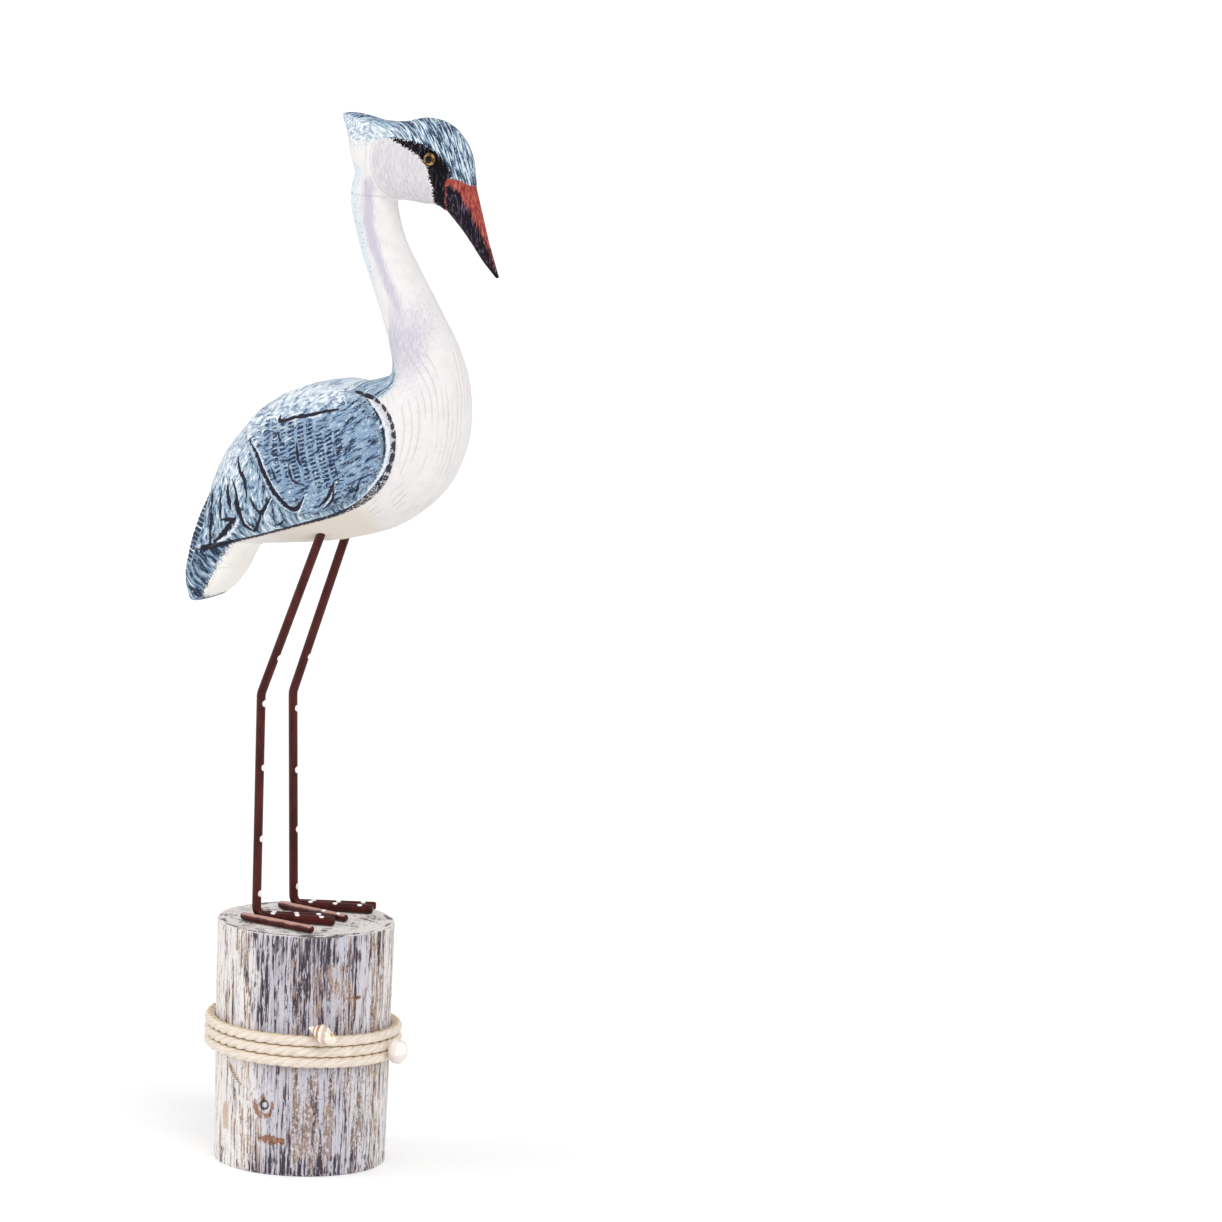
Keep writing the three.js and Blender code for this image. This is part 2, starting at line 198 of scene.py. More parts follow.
def new_bmesh():
    bm = bmesh.new()
    bm.loops.layers.uv.new("UVMap")
    return bm


def to_piece(name, bm, material=None):
    """An object of the given name, smooth all over, made from bm."""
    for face in bm.faces:
        face.smooth = True
    mesh = bpy.data.meshes.new(name)
    bm.to_mesh(mesh)
    bm.free()
    piece = bpy.data.objects.new(name, mesh)
    bpy.context.scene.collection.objects.link(piece)
    if material:
        mesh.materials.append(material)
    return piece


def finish_piece(piece, node):
    """Puts a piece under the root body in place of a node of the CAD, and hides that node."""
    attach(piece, "root")
    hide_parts(node)


def places_of(mesh):
    flat = np.zeros(len(mesh.vertices) * 3)
    mesh.vertices.foreach_get("co", flat)
    return flat.reshape(-1, 3)


def normals_of(mesh):
    flat = np.zeros(len(mesh.vertices) * 3)
    mesh.vertex_normals.foreach_get("vector", flat)
    return flat.reshape(-1, 3)


def put_places(mesh, places):
    mesh.vertices.foreach_set("co", places.ravel())
    mesh.update()


def save_vector(mesh, name, columns):
    """Keeps three numbers for each vertex, for the material to read."""
    layer = mesh.attributes.new(name, "FLOAT_VECTOR", "POINT")
    layer.data.foreach_set("vector", np.stack(columns, 1).astype(np.float32).ravel())


def softened(mesh, values, rounds):
    """Values at the vertices averaged along the edges, rounds times over."""
    pairs = np.zeros(len(mesh.edges) * 2, np.int64)
    mesh.edges.foreach_get("vertices", pairs)
    a, b = pairs.reshape(-1, 2).T
    count = len(mesh.vertices)
    links = np.bincount(np.r_[a, b], minlength=count)
    for _ in range(rounds):
        columns = [
            np.bincount(np.r_[a, b], np.r_[column[b], column[a]], minlength=count) / links
            for column in values.T
        ]
        values = 0.5 * values + 0.5 * np.stack(columns, 1)
    return values


def tube_shape(path, radii):
    """The shape of a tube along a path in mm, for bent_grid, with a radius at each point of the path."""
    path = np.asarray(path, float)
    radii = np.broadcast_to(radii, len(path))
    steps = np.gradient(path, axis=0)
    steps /= np.linalg.norm(steps, axis=1, keepdims=True)
    side = np.cross(steps[0], (0.0, 0.3, 1.0) if abs(steps[0][2]) < 0.9 else (1.0, 0.0, 0.0))
    sides = []
    for step in steps:
        side = side - step * (side @ step)
        side /= np.linalg.norm(side)
        sides.append(side)
    sides = np.array(sides)
    others = np.cross(steps, sides)

    def shape(around, along):
        row = np.rint(along * (len(path) - 1)).astype(int)
        angle = (around * 2 * np.pi)[:, None]
        out = np.cos(angle) * sides[row] + np.sin(angle) * others[row]
        return path[row] + radii[row, None] * out

    return shape


# Materials


def srgb(text):
    """A hex colour as linear light."""
    parts = [int(text[i : i + 2], 16) / 255 for i in (1, 3, 5)]
    return [c / 12.92 if c <= 0.04045 else ((c + 0.055) / 1.055) ** 2.4 for c in parts] + [1.0]


def add(tree, kind, inputs, output=0, **settings):
    """Adds a node and gives one of its outputs. An input is a plain value or an output to read."""
    made = tree.nodes.new("ShaderNode" + kind)
    for key, value in settings.items():
        setattr(made, key, value)
    for key, value in inputs.items():
        if isinstance(value, bpy.types.NodeSocket):
            tree.links.new(value, made.inputs[key])
        else:
            made.inputs[key].default_value = value
    return made.outputs[output]


def new_material(name, **plain):
    material = bpy.data.materials.new(name)
    material.use_nodes = True
    shader = material.node_tree.nodes["Principled BSDF"]
    for socket, value in plain.items():
        shader.inputs[socket.replace("_", " ")].default_value = value
    return material, material.node_tree, shader


def finish_material(tree, shader, paint, relief, depth):
    """Links the paint to the shader, with relief as fine unevenness depth mm deep."""
    tree.links.new(paint, shader.inputs["Base Color"])
    uneven = add(tree, "Bump", {"Height": relief, "Distance": depth * MM})
    tree.links.new(uneven, shader.inputs["Normal"])


def noises(tree, where, *kinds):
    """Noises from 0 to 1, each given by its size in mm and how many times as tall as wide its lumps are."""
    made = []
    for size, tall in kinds:
        placed = add(tree, "Mapping", {"Vector": where, "Scale": (1, 1, 1 / tall)})
        settings = {"Vector": placed, "Scale": 1000 / size, "Detail": 4.0, "Roughness": 0.6}
        made.append(add(tree, "TexNoise", settings))
    return made


def kept_values(tree, *names):
    """The three numbers kept at the vertices under each name, all in one list."""
    values = []
    for name in names:
        vector = add(tree, "Attribute", {}, "Vector", attribute_name=name)
        values += [add(tree, "SeparateXYZ", {0: vector}, axis) for axis in "XYZ"]
    return values


def coat(tree, under, colour, by, low, high, most=1.0, torn_by=None, torn=0.0):
    """A coat of colour over what is under it, growing from nothing where the value by is low to most
    where it is high. A noise may tear its edge."""
    if torn_by:
        centred = add(tree, "Math", {0: torn_by, 1: 0.5}, operation="SUBTRACT")
        by = add(tree, "Math", {0: centred, 1: torn, 2: by}, operation="MULTIPLY_ADD")
    limits = {"Value": by, "From Min": low, "From Max": high, "To Max": most}
    share = add(tree, "MapRange", limits, interpolation_type="SMOOTHSTEP")
    under, over = (srgb(tone) if isinstance(tone, str) else tone for tone in (under, colour))
    return add(tree, "Mix", {0: share, 6: under, 7: over}, 2, data_type="RGBA")


def coats(tree, paint, *rows):
    """Coats laid one over the other. Each row holds a coat's colour and all that coat asks for after it."""
    for row in rows:
        paint = coat(tree, paint, *row)
    return paint


# The bird: outlines and stations as carved, in mm

TRUNK = [
    # frontX, frontZ, backX, backZ, halfWidth, frontRound, backRound
    [35, 459, 16, 466, 8.5, 1, 1],
    [35.5, 447, 13, 452, 9.3, 1, 1],
    [40, 432, 17, 432, 9.8, 1, 1],
    [49, 416.5, 23.5, 415, 10.5, 1, 1],
    [59, 400, 30, 399, 12, 1, 1],
    [67.5, 385, 35, 385, 15, 1, 1],
    [71.5, 371, 38, 374.5, 19.5, 0.95, 1],
    [72.6, 355, 37.3, 371, 24.5, 0.95, 0.95],
    [70.5, 337, 33, 369.2, 28.5, 0.95, 0.9],
    [61.5, 318, 25.5, 366.8, 31, 0.92, 0.85],
    [42, 301.5, 13, 364.5, 32, 0.92, 0.85],
    [19, 293.5, -1, 361.5, 32, 0.9, 0.85],
    [0, 290, -15.5, 355.5, 30, 0.88, 0.85],
    [-14, 288.3, -29, 345.5, 27.5, 0.85, 0.85],
    [-24, 287.3, -40.5, 331.5, 24.5, 0.8, 0.85],
    [-31, 285, -49, 315, 21.8, 0.75, 0.85],
    [-35.5, 279.5, -56.5, 297.5, 19.6, 0.65, 0.75],
    [-40, 271.5, -60.8, 281, 18.2, 0.55, 0.65],
    [-46, 263.8, -61.6, 267.5, 17, 0.5, 0.65],
    [-53, 258.6, -58.5, 259.6, 15.3, 0.5, 0.7],
]
HEAD = [
    # crownX, crownZ, throatX, throatZ, halfWidth, crownRound, throatRound
    [7.5, 488, 8, 485, 2.2, 0.6, 1],
    [13, 488.3, 11, 477.5, 5, 0.6, 1],
    [20, 487.3, 12.5, 468, 7.2, 0.65, 1],
    [28, 485.8, 17.5, 457.5, 9.5, 0.8, 1],
    [38, 486, 29, 450.5, 11.6, 0.9, 0.85],
    [50, 488.5, 41, 450.3, 12.4, 0.9, 0.8],
    [60, 486.6, 49.5, 450, 12, 0.9, 0.8],
    [67.5, 480.5, 54.5, 449.5, 10.6, 0.9, 0.8],
    [72, 471.5, 57.8, 449, 9, 0.85, 0.8],
    [73.6, 463, 60, 447.6, 7.6, 0.8, 0.8],
    [74.2, 460.5, 61, 446.8, 6.5, 0.8, 0.8],
    [77.5, 449, 66.8, 440.6, 5.4, 0.75, 0.8],
    [81.3, 437, 73.6, 432.3, 4.1, 0.75, 0.8],
    [85, 427, 79.8, 424.4, 2.7, 0.75, 0.8],
    [88.4, 418.5, 86.3, 417.4, 1.2, 0.9, 0.9],
]
# Outlines as [x, z] seen from the side. Where they pass over the back they run clear of the body.
WING = [
    [30, 376], [34, 363], [42.5, 358], [48, 351], [50.2, 343], [49.6, 334], [46.4, 326], [40, 318.7],
    [27, 309.3], [2, 300.4], [-25.5, 291.5], [-50.5, 284], [-70, 290], [-75, 330], [-40, 375],
]
COVERT = [
    [27, 376], [31, 361.5], [39, 355.5], [44.5, 348.5], [46.8, 341.5], [46, 334], [43, 327.5], [37, 321],
    [26, 313.8], [14, 309], [1.5, 307.3], [-4.5, 309.7], [-8.8, 314], [-12.7, 320], [-16.3, 326.7],
    [-20.8, 332.2], [-26, 340], [-33, 356], [-20, 372],
]
SHOULDER = [[24, 365], [33, 361.5], [41, 362.5], [46, 369.5], [43, 375.5], [36, 379], [26, 378]]
# The gap between the wing tips over the tail, [y, z] as seen from behind.
PARTING = [
    [0, 340], [-11, 326], [-18.5, 309], [-19.5, 296], [-17.5, 276], [17.5, 276], [19.5, 296], [18.5, 309],
    [11, 326],
]
# Gouges between the feathers, dark with wash: path, half width, depth.
GOUGES = [
    ([[-22.7, 337.4], [-20.7, 335.2], [-16.5, 331.2], [-13.7, 325.7], [-9.6, 319.5], [-5.2, 314],
      [-1.7, 310.6], [1.6, 309], [5.3, 310.8], [8.5, 315.4]], 1.0, 1.2),
    ([[-7.6, 349.2], [-7.4, 347.4], [-4.6, 347.6], [-1.1, 349], [6.3, 350.9], [14.6, 353.1], [22.5, 355]],
     0.8, 0.9),
    ([[33.5, 362], [40.8, 357.2], [44.9, 352.6], [47, 347], [47.8, 341.6], [47.4, 336]], 0.45, 0.4),
    ([[-31, 318.5], [-28.7, 312.6], [-28.4, 307.8], [-27, 302.7], [-25.5, 298], [-21.7, 295.2]], 0.8, 1.0),
    ([[-21, 312], [-17.9, 306.5], [-15.6, 305], [-13.7, 307.4], [-9.5, 313.1]], 0.8, 1.0),
    ([[-21.7, 295.5], [-19, 298.5], [-15.6, 304.5]], 0.6, 0.7),
    ([[-29.5, 301.5], [-31.6, 299.6], [-35.6, 294.8], [-42, 288.4]], 1.05, 1.1),
    ([[-38, 299.2], [-33.2, 300.1], [-29.5, 301]], 0.75, 0.7),
    ([[24, 324.5], [20.5, 317.1], [15, 311.5]], 0.5, 0.6),
    ([[24, 324.5], [22.3, 315.8], [17, 310.6]], 0.4, 0.4),
    ([[36.2, 326], [34.5, 321], [32.2, 317.4]], 0.5, 0.5),
    ([[-43, 312], [-43.4, 299.4], [-44.6, 286]], 0.85, 0.7),
    ([[-28.6, 329.5], [-26.6, 322.9], [-23.8, 319.3], [-22.6, 311.5]], 0.8, 0.6),
    ([[-33.4, 318], [-33.4, 310.8], [-31.4, 304]], 0.95, 0.5),
    ([[-37, 313], [-38, 305], [-37.5, 299]], 0.5, 0.3),
    ([[4.4, 339], [5.6, 333], [8.9, 327.5]], 0.8, 0.5),
    ([[-6.5, 343], [-4.6, 338.5]], 0.8, 0.3),
    ([[0.5, 331], [3.4, 322.5], [9, 321]], 0.6, 0.4),
    ([[-8.6, 327.5], [-5.2, 320.5]], 0.6, 0.3),
    ([[-4, 303.5], [-6.5, 301], [-9.5, 300.2]], 0.4, 0.4),
]
# Raised lips of the feathers, left pale: path, half width.
LIPS = [
    ([[-20.8, 338.4], [-18.6, 335.6], [-14.8, 331.6], [-12.1, 326.3], [-8.2, 320.3], [-4, 315]], 0.4),
    ([[-8.1, 314], [-12.2, 307.6], [-13.9, 303.1], [-12.3, 299.6], [-7, 298.6]], 0.32),
    ([[9.6, 316], [6.3, 310.4], [4, 305.8], [6.3, 304.2], [11, 305.6]], 0.28),
    ([[-27.4, 301.5], [-30.9, 296.6], [-36, 291.6], [-44.5, 285.6]], 0.5),
    ([[-25.6, 305], [-24.8, 300.5], [-22, 297.4]], 0.3),
    ([[-29.6, 318.5], [-27.2, 312.6], [-26.9, 307]], 0.35),
    ([[25.2, 324.5], [22, 317], [17.4, 311.2]], 0.35),
    ([[2, 353.5], [4.8, 356], [8.5, 359], [13.5, 361], [18.5, 361], [23.8, 359.5], [26.4, 357]], 0.3),
    ([[4, 352.8], [10, 356.4], [17, 357.6], [22, 356.4]], 0.25),
    ([[36.8, 361], [42.8, 356.7], [46.3, 352.5], [48.4, 347], [49.2, 341.8], [48.2, 335.2], [45.8, 329.4],
      [40.8, 322.4], [35.6, 316.9], [27, 311.6]], 0.5),
]
# The dark border painted round the wing: [x, z, half width].
BORDER = [
    [26, 363.6, 0.5], [33.6, 362.7, 0.9], [38.7, 361.9, 0.7], [44.5, 359, 0.8], [47.6, 355.7, 0.9],
    [49.8, 352, 0.95], [51, 348.3, 1], [51.4, 343.7, 1], [51, 337.9, 1], [49.6, 332.4, 1.1],
    [47.2, 327.4, 1.5], [43.2, 322, 1.9], [38.6, 317.4, 1.8], [34, 314, 1.5], [28.6, 310.9, 1.2],
    [21.8, 307.7, 0.95], [9.7, 303.3, 0.9], [-6, 298.1, 0.9], [-22.6, 292.5, 0.9], [-35.5, 288.8, 1.1],
    [-48.5, 284.6, 1.3],
]
# Lines as [x, z] seen from the side: where the blue down the back of the neck ends, the painted shade,
# lilac, in front of it, the white cheek, the black mask, the foot of the blue crown, the root of the beak,
# the red's edge on it and its mouth, and where the tail's blue ends.
NAPE_EDGE = [
    [20.5, 472], [21.3, 461.3], [21.6, 449.6], [24.3, 436.9], [29.1, 417.7], [32, 406.1], [38, 384],
    [42, 376],
]
NECK_PAINTED_SHADE = [
    [25.2, 457], [25.6, 449], [26, 440], [29.5, 429], [34.5, 418], [40.5, 407], [47, 394], [54, 381],
    [60, 370],
]
CHEEK_EDGE = [
    [36, 479], [29.5, 477.6], [27.2, 473.6], [27.2, 466.6], [29.5, 460], [33, 455.5], [38, 452.5], [46, 451],
    [54, 450], [57.2, 452.2], [57.9, 457.7], [56.5, 461.6], [55.6, 466.8], [52.8, 470.5], [49.8, 473.5],
    [45.3, 475.8],
]
MASK = [
    [35, 479], [40.7, 479], [45.9, 478.7], [51.8, 477.8], [57.4, 475.8], [61.5, 472.9], [64.8, 468.4],
    [66.6, 465], [66, 462], [64, 456.7], [62.6, 449], [57.5, 445.4], [57.1, 452.2], [57.9, 457.7],
    [56.5, 461.6], [55.6, 466.8], [52.8, 470.5], [49.8, 473], [45.3, 475.1], [39.4, 477.3],
]
CROWN_EDGE = [
    [0, 474], [15, 475.5], [26, 477], [36, 478.6], [51, 476], [59.5, 471.5], [64, 463], [66, 456], [80, 450],
]
BEAK_ROOT = [[57, 440], [61.6, 449], [63, 456.7], [64.3, 462.2], [69.1, 462.2], [74, 459.6], [84, 456]]
RED_EDGE = [[64, 459], [66.7, 459.8], [70.1, 455.4], [77.4, 442.8], [83.6, 430.2], [88, 419.6]]
MOUTH_LINE = [[61.5, 449.5], [69.5, 438.4], [78, 428], [85.5, 419.6]]
TAIL_PAINT = [[-33, 291], [-35.2, 287.5], [-40.3, 279.8], [-44.7, 271.8], [-48.5, 264.9], [-52.5, 256]]
EYE = {"x": 56.5, "y": 11.2, "z": 471, "radius": 3.3, "dome": 1.6, "seat": 1.6, "edge": 0.15}
EYE_MIDDLE = Vector((EYE["x"], 0, EYE["z"])) * MM
WEAVE = {"middle": (20, 0, 335), "rise": 0.42, "lean": 0.24, "column": 4.9, "row": 2.0}
# Where the filler was smoothed by hand between neck and back, and the middle of the breast and neck, as
# heights and the x at each.
FILLER = {"x": 43, "z": 370.5, "wide": 6.5}
NECK_MIDDLE = ([290, 340, 372, 400, 450], [20, 40, 50, 44, 25])
# Heights of what stands out from the skin and depths of what is cut into it, in mm.
LIFT = {
    "wing": 1.2, "covert": 0.9, "cheek": 0.8, "lips": 0.3, "filler": 0.45, "brow": 0.35, "flats": 0.22,
    "ripple": 0.05, "wing_ripple": 0.10,
}
DEPTH = {
    "border": 0.6, "strokes": 0.34, "breast": 0.28, "cheek": 0.3, "beak": 0.45, "mouth": 0.55, "red": 0.25,
    "socket": 2.0,
}
VOXEL = 0.79  # fine enough for the gouges and still under 200,000 triangles
HEAD_FOOT = 452  # the height from which on a spot belongs to the head
TAIL_TOP = 292  # the height below which the tail's paint can lie
BEAK_TIP = (84, 428)  # the strokes of the crown run round this place near it, as [x, z]
OUTSIDE = -9  # what a spot gets that a region leaves out: as far outside as is kept


def carved_shape(stations, rings):
    """The shape through the stations of a form that is the same on both sides, for bent_grid."""
    table = np.array(stations, float)
    crown = through(table[:, [0, 5, 1]], rings)
    facing = through(table[:, [2, 6, 3]], rings)
    width = through(table[:, [4, 4, 4]], rings)[:, 0]

    def shape(around, along):
        row = np.rint(along * (rings - 1)).astype(int)
        angle = around * 2 * np.pi
        power = np.where(np.cos(angle) > 0, crown[row, 1], facing[row, 1])
        ahead = np.sign(np.cos(angle)) * np.abs(np.cos(angle)) ** power
        aside = np.sign(np.sin(angle)) * np.abs(np.sin(angle)) ** power
        middle = (crown[row] + facing[row]) / 2
        reach = (crown[row] - facing[row]) / 2
        place = middle + reach * ahead[:, None]
        place[:, 1] = -width[row] * aside
        return place

    return shape


def remeshed(bm, size):
    """The closed forms in bm made one skin of even small squares."""
    lump = to_piece("lump", bm)
    remesh = lump.modifiers.new("remesh", "REMESH")
    remesh.mode = "VOXEL"
    remesh.voxel_size = size * MM
    graph = bpy.context.evaluated_depsgraph_get()
    mesh = bpy.data.meshes.new_from_object(lump.evaluated_get(graph))
    bpy.data.objects.remove(lump)
    return mesh


def dashes(columns, rows):
    """Short strokes, one in each cell."""
    across = np.abs(columns - np.floor(columns) - 0.5)
    down = np.abs(rows - np.floor(rows) - 0.5)
    return ramp(-across, -0.42, -0.32) * ramp(-down, -0.32, -0.14)


def bird_skin():
    """The bird before any feather is cut: one fine skin through all the stations."""
    bm = new_bmesh()
    bent_grid(bm, carved_shape(TRUNK, 150), 96, 149)
    bent_grid(bm, carved_shape(HEAD, 120), 72, 119)
    close_up(bm)
    mesh = remeshed(bm, VOXEL)
    mesh.name = "carved_bird"
    put_places(mesh, softened(mesh, places_of(mesh), 2))
    return mesh


def feather_cuts(flat, uneven):
    """How deep the gouges cut at each flat spot, and how much it lies in a gouge, close to one and on a
    lip. Each is widest in its middle, and uneven makes the gouges wider and narrower."""
    deep, gouged, near_gouge, lips = np.zeros((4, len(flat)))
    for path, half_width, depth in GOUGES:
        distance, share, _ = line_distance(flat, through(path, 30))
        taper = thin_ended(share, 0.03, 0.5)
        cut = ramp(half_width * taper * uneven - distance, -0.5, 0.45)
        deep += depth * cut
        gouged = np.maximum(gouged, cut)
        near_gouge = np.maximum(near_gouge, bump(distance, 2.4) * taper * depth)
    for path, half_width in LIPS:
        distance, share, _ = line_distance(flat, through(path, 30))
        taper = thin_ended(share, 0.05, 0.4)
        lips = np.maximum(lips, ramp(half_width * taper - distance, -0.45, 0.25))
    return deep, gouged, near_gouge, lips


def stroke_cells(spots, places, sway, sway_fine):
    """Where each spot lies in the grid of short strokes, in strokes along and in strokes across. places
    are the crest, the crown, the strip between the wing tips, the tail and the covert."""
    x, y, z = spots.T
    rear = ramp(-x, -8, 4)
    from_middle = spots - WEAVE["middle"]
    rise = WEAVE["rise"] + 0.16 * ramp(x, 10, 36)
    weave_u = (from_middle[:, 0] + WEAVE["lean"] * from_middle[:, 2]) / WEAVE["column"]
    weave_v = (from_middle[:, 2] - rise * from_middle[:, 0]) / WEAVE["row"]
    weave_u += 0.14 * sway + (0.06 + 0.12 * rear) * sway_fine
    weave_v += 0.3 * sway + (0.12 + 0.6 * rear) * sway_fine
    flight_u = (-0.30 * x - 0.95 * z) / 4.4 + 0.25 * sway
    flight_v = (0.95 * x - 0.30 * z + 1.1 * np.abs(y)) / 2.2 + 0.6 * sway + 0.3 * sway_fine
    tail_u = (0.62 * x - 0.78 * z) / 8 + 0.3 * sway + 0.35
    tail_v = (0.78 * x + 0.62 * z) / 2.5 + 0.9 * sway + 0.2 * sway_fine
    strip_v = (z + 0.15 * x) / 2.2 + 0.5 * sway
    from_tip, over_tip = x - BEAK_TIP[0], z - BEAK_TIP[1]
    crown_u = np.hypot(from_tip, over_tip) / 6 + 0.12 * sway
    crown_v = np.arctan2(over_tip, from_tip) / 0.017 + 0.6 * np.abs(y) + 0.2 * sway
    crest_u = (x + z) / 3.4 + 0.8 * sway
    crest_v = (x - z + np.abs(y)) / 2.6 + 0.8 * sway
    columns = np.select(places, [crest_u, crown_u, 0.5, tail_u, weave_u], flight_u)
    rows = np.select(places, [crest_v, crown_v, strip_v, tail_v, weave_v], flight_v)
    return columns, rows


def carve_bird():
    """The bird's skin raised and cut, with all that its paint needs kept at the vertices. Places and
    sizes are in mm here too, and strengths run from 0 to about 1."""
    mesh = bird_skin()
    spots = places_of(mesh) / MM
    normals = normals_of(mesh)
    x, y, z = spots.T
    flat = spots[:, [0, 2]]
    on_head = z > HEAD_FOOT
    on_body = (z < 392) | (x < 20) & (z < 430)

    def within(outline, count):
        """How far inside a rounded outline each spot lies, seen from the side."""
        return inside_by(flat, through(outline, count, closed=True))

    def left_of(line, count=40):
        """How far to the left of a rounded line each spot lies, seen from the side."""
        distance, _, side = line_distance(flat, through(line, count))
        return distance * side

    # The wings, the gap between them over the tail, and the forms raised on them
    wing = within(WING, 90)
    parting = inside_by(spots[:, [1, 2]], np.array(PARTING, float))
    parting[x > -38] = OUTSIDE
    wing_form = np.minimum(wing, -parting)
    wing_form[(z > 362) & (x > 20)] = OUTSIDE
    covert = np.minimum(within(COVERT, 90), -OUTSIDE)
    over_back = 1 - ramp(z, 359, 366) * ramp(x, 12, 22)
    height = LIFT["wing"] * ramp(wing_form, -0.5, 0.7) * over_back
    height += LIFT["covert"] * ramp(covert, -0.5, 0.8) * over_back

    # Gouges and lips, and the border round the wing
    sway = noise(spots, 9, 3, 2)
    sway_fine = noise(spots, 3.2, 5, 2)
    deep, *cuts = feather_cuts(flat, 1 + 0.7 * sway_fine + 0.4 * noise(spots, 1.4, 9))
    gouged, near_gouge, lips = (cut * ramp(wing, -1.5, -0.5) * (parting < 0) for cut in cuts)
    height += LIFT["lips"] * lips - deep
    line = through(BORDER, 160)
    distance, round_wing, _ = line_distance(flat, line[:, :2])
    half_width = np.interp(round_wing, np.linspace(0, 1, len(line)), line[:, 2])
    border = ramp(half_width - distance, -0.5, 0.4) * ((z < 364) & (x > -50))
    height -= DEPTH["border"] * border

    # Which strokes each spot has: those of the crest, crown, strip, tail or covert, or the flight feathers'
    crown = np.where(on_head, left_of(CROWN_EDGE) * np.interp(x, [22, 34], [0.3, 1]), OUTSIDE)
    tail = np.where(z < TAIL_TOP, -left_of(TAIL_PAINT, 20), OUTSIDE)
    places = [on_head & (x < 24), on_head, parting > 0, (tail > -1) & (wing < 0.5), covert > 0]
    columns, rows = stroke_cells(spots, places, sway, sway_fine)

    # How regular the strokes are, and how much of the ground the dark and the pale ones cover
    rear = ramp(-x, -8, 4)
    in_weave = ramp(covert, 0.5, 3.0) * ramp(-z, -351, -346) * ramp(z, 316, 325)
    in_weave *= ramp(x + 0.3 * z, 80, 92) * (1 - 0.85 * ramp(x, 24, 31)) * (1 - 0.2 * rear)
    in_strip = ramp(parting, -0.3, 0.8) * ramp(-z, -322, -310)
    regular = np.select(places, [0, 0, 1.6 * in_strip, 0, in_weave], 0)
    speckled = ramp(covert, 0, 2) * ramp(-x, -6, 2) * ramp(-z, -356, -348)
    crowned = ramp(x, 28, 44) * on_head
    head_top = ramp(normals[:, 2], 0.5, 0.85) * on_head
    fore = ramp(x, 6, 26)
    covert_dark = 0.41 - 0.22 * in_weave + 0.16 * speckled + 0.22 * fore
    fore_pale = 0.02 - 0.3 * in_weave - 0.34 * fore
    inks = [0.14 + 0.5 * head_top, 0.3 + 0.38 * crowned + 0.1 * head_top, 0.3, 0.92, covert_dark]
    dark_share = np.select(places, inks, 0.43 + 0.06 * ramp(-x, 12, 30))
    pales = [0.42 - 0.4 * head_top, 0.38 - 0.15 * head_top, 0.45, -0.1, fore_pale]
    pale_share = np.select(places, pales, 0.22)
    shoulder = within(SHOULDER, 40)
    blue = np.maximum.reduce([wing - 0.2, shoulder, tail, crown])
    blue = np.where(on_head | on_body | (shoulder > -3), blue, OUTSIDE)
    regular *= ramp(blue, 0, 1.2) * (1 - ramp(gouged, 0.1, 0.5))
    height -= DEPTH["strokes"] * dashes(columns, rows) * regular

    # Long grooves left white: down the breast, the neck and the cheeks
    ahead = x - np.interp(z, *NECK_MIDDLE)
    breast_rows = np.arctan2(y, ahead) * np.hypot(y, ahead) / 3.2
    breast_rows += 0.35 * noise(spots * [1, 1, 0.25], 7, 11, 2)
    groove = bump(breast_rows - np.rint(breast_rows), 0.2)
    groove *= ramp(noise(spots * [1, 1, 0.2], 6, 21, 2), -0.45, 0.15)
    plain = ramp(-wing, 1.5, 4) * ~on_head
    breast = ramp(z, 296, 312) * ramp(-z, -400, -380) * plain * ramp(x, 8, 22)
    height -= DEPTH["breast"] * groove * breast
    cheek = np.where(on_head | (z > 446) & (x > 34), within(CHEEK_EDGE, 70), OUTSIDE)
    height += LIFT["cheek"] * ramp(cheek, -0.4, 0.9)
    cheek_rows = (x + (0.1 + 0.022 * (x - 30)) * (z - 465)) / 2.1 + 0.35 * sway
    cheek_cut = bump(cheek_rows - np.rint(cheek_rows), 0.19) * ramp(cheek, 0.6, 2.5)
    cheek_cut *= ramp(noise(spots * [1, 1, 0.3], 5, 31, 2), -0.5, 0.1)
    height -= DEPTH["cheek"] * cheek_cut

    # Filler smoothed by hand where the neck meets the back
    filler = bump(np.hypot(x - FILLER["x"], z - FILLER["z"]), FILLER["wide"])
    height += LIFT["filler"] * filler * noise(spots, 2.6, 51, 2)

    # The beak: cut back from the face at its root, with the line of the mouth
    beak = np.where(on_head | (x > 55) & (z > 410), -left_of(BEAK_ROOT), OUTSIDE)
    height -= DEPTH["beak"] * ramp(beak, -0.2, 0.5)
    mouth_cut = bump(left_of(MOUTH_LINE, 30), 0.5) * ramp(beak, -0.5, 1) * ramp(np.abs(y), 0.4, 1.6)
    height -= DEPTH["mouth"] * mouth_cut
    red = np.where(beak > -2, left_of(RED_EDGE, 30), OUTSIDE)
    height -= DEPTH["red"] * bump(red, 0.5) * (beak > 0.5)

    # The eye's socket and the brow over it
    from_rim = np.hypot(x - EYE["x"], z - EYE["z"]) - EYE["radius"]
    at_eye = np.abs(y) > 7
    height -= DEPTH["socket"] * (1 - ramp(from_rim, -0.4, 0.5)) * at_eye
    height += LIFT["brow"] * bump(from_rim - 1.1, 0.7) * at_eye

    # A knife's flats and the slight waviness of handwork
    height += LIFT["flats"] * noise(spots, 13, 41, 2) * (beak < 0)
    height += LIFT["ripple"] * noise(spots, 2.2, 43, 2)
    height += LIFT["wing_ripple"] * noise(spots * [1, 1, 0.3], 3.0, 47, 2) * (wing > 0)

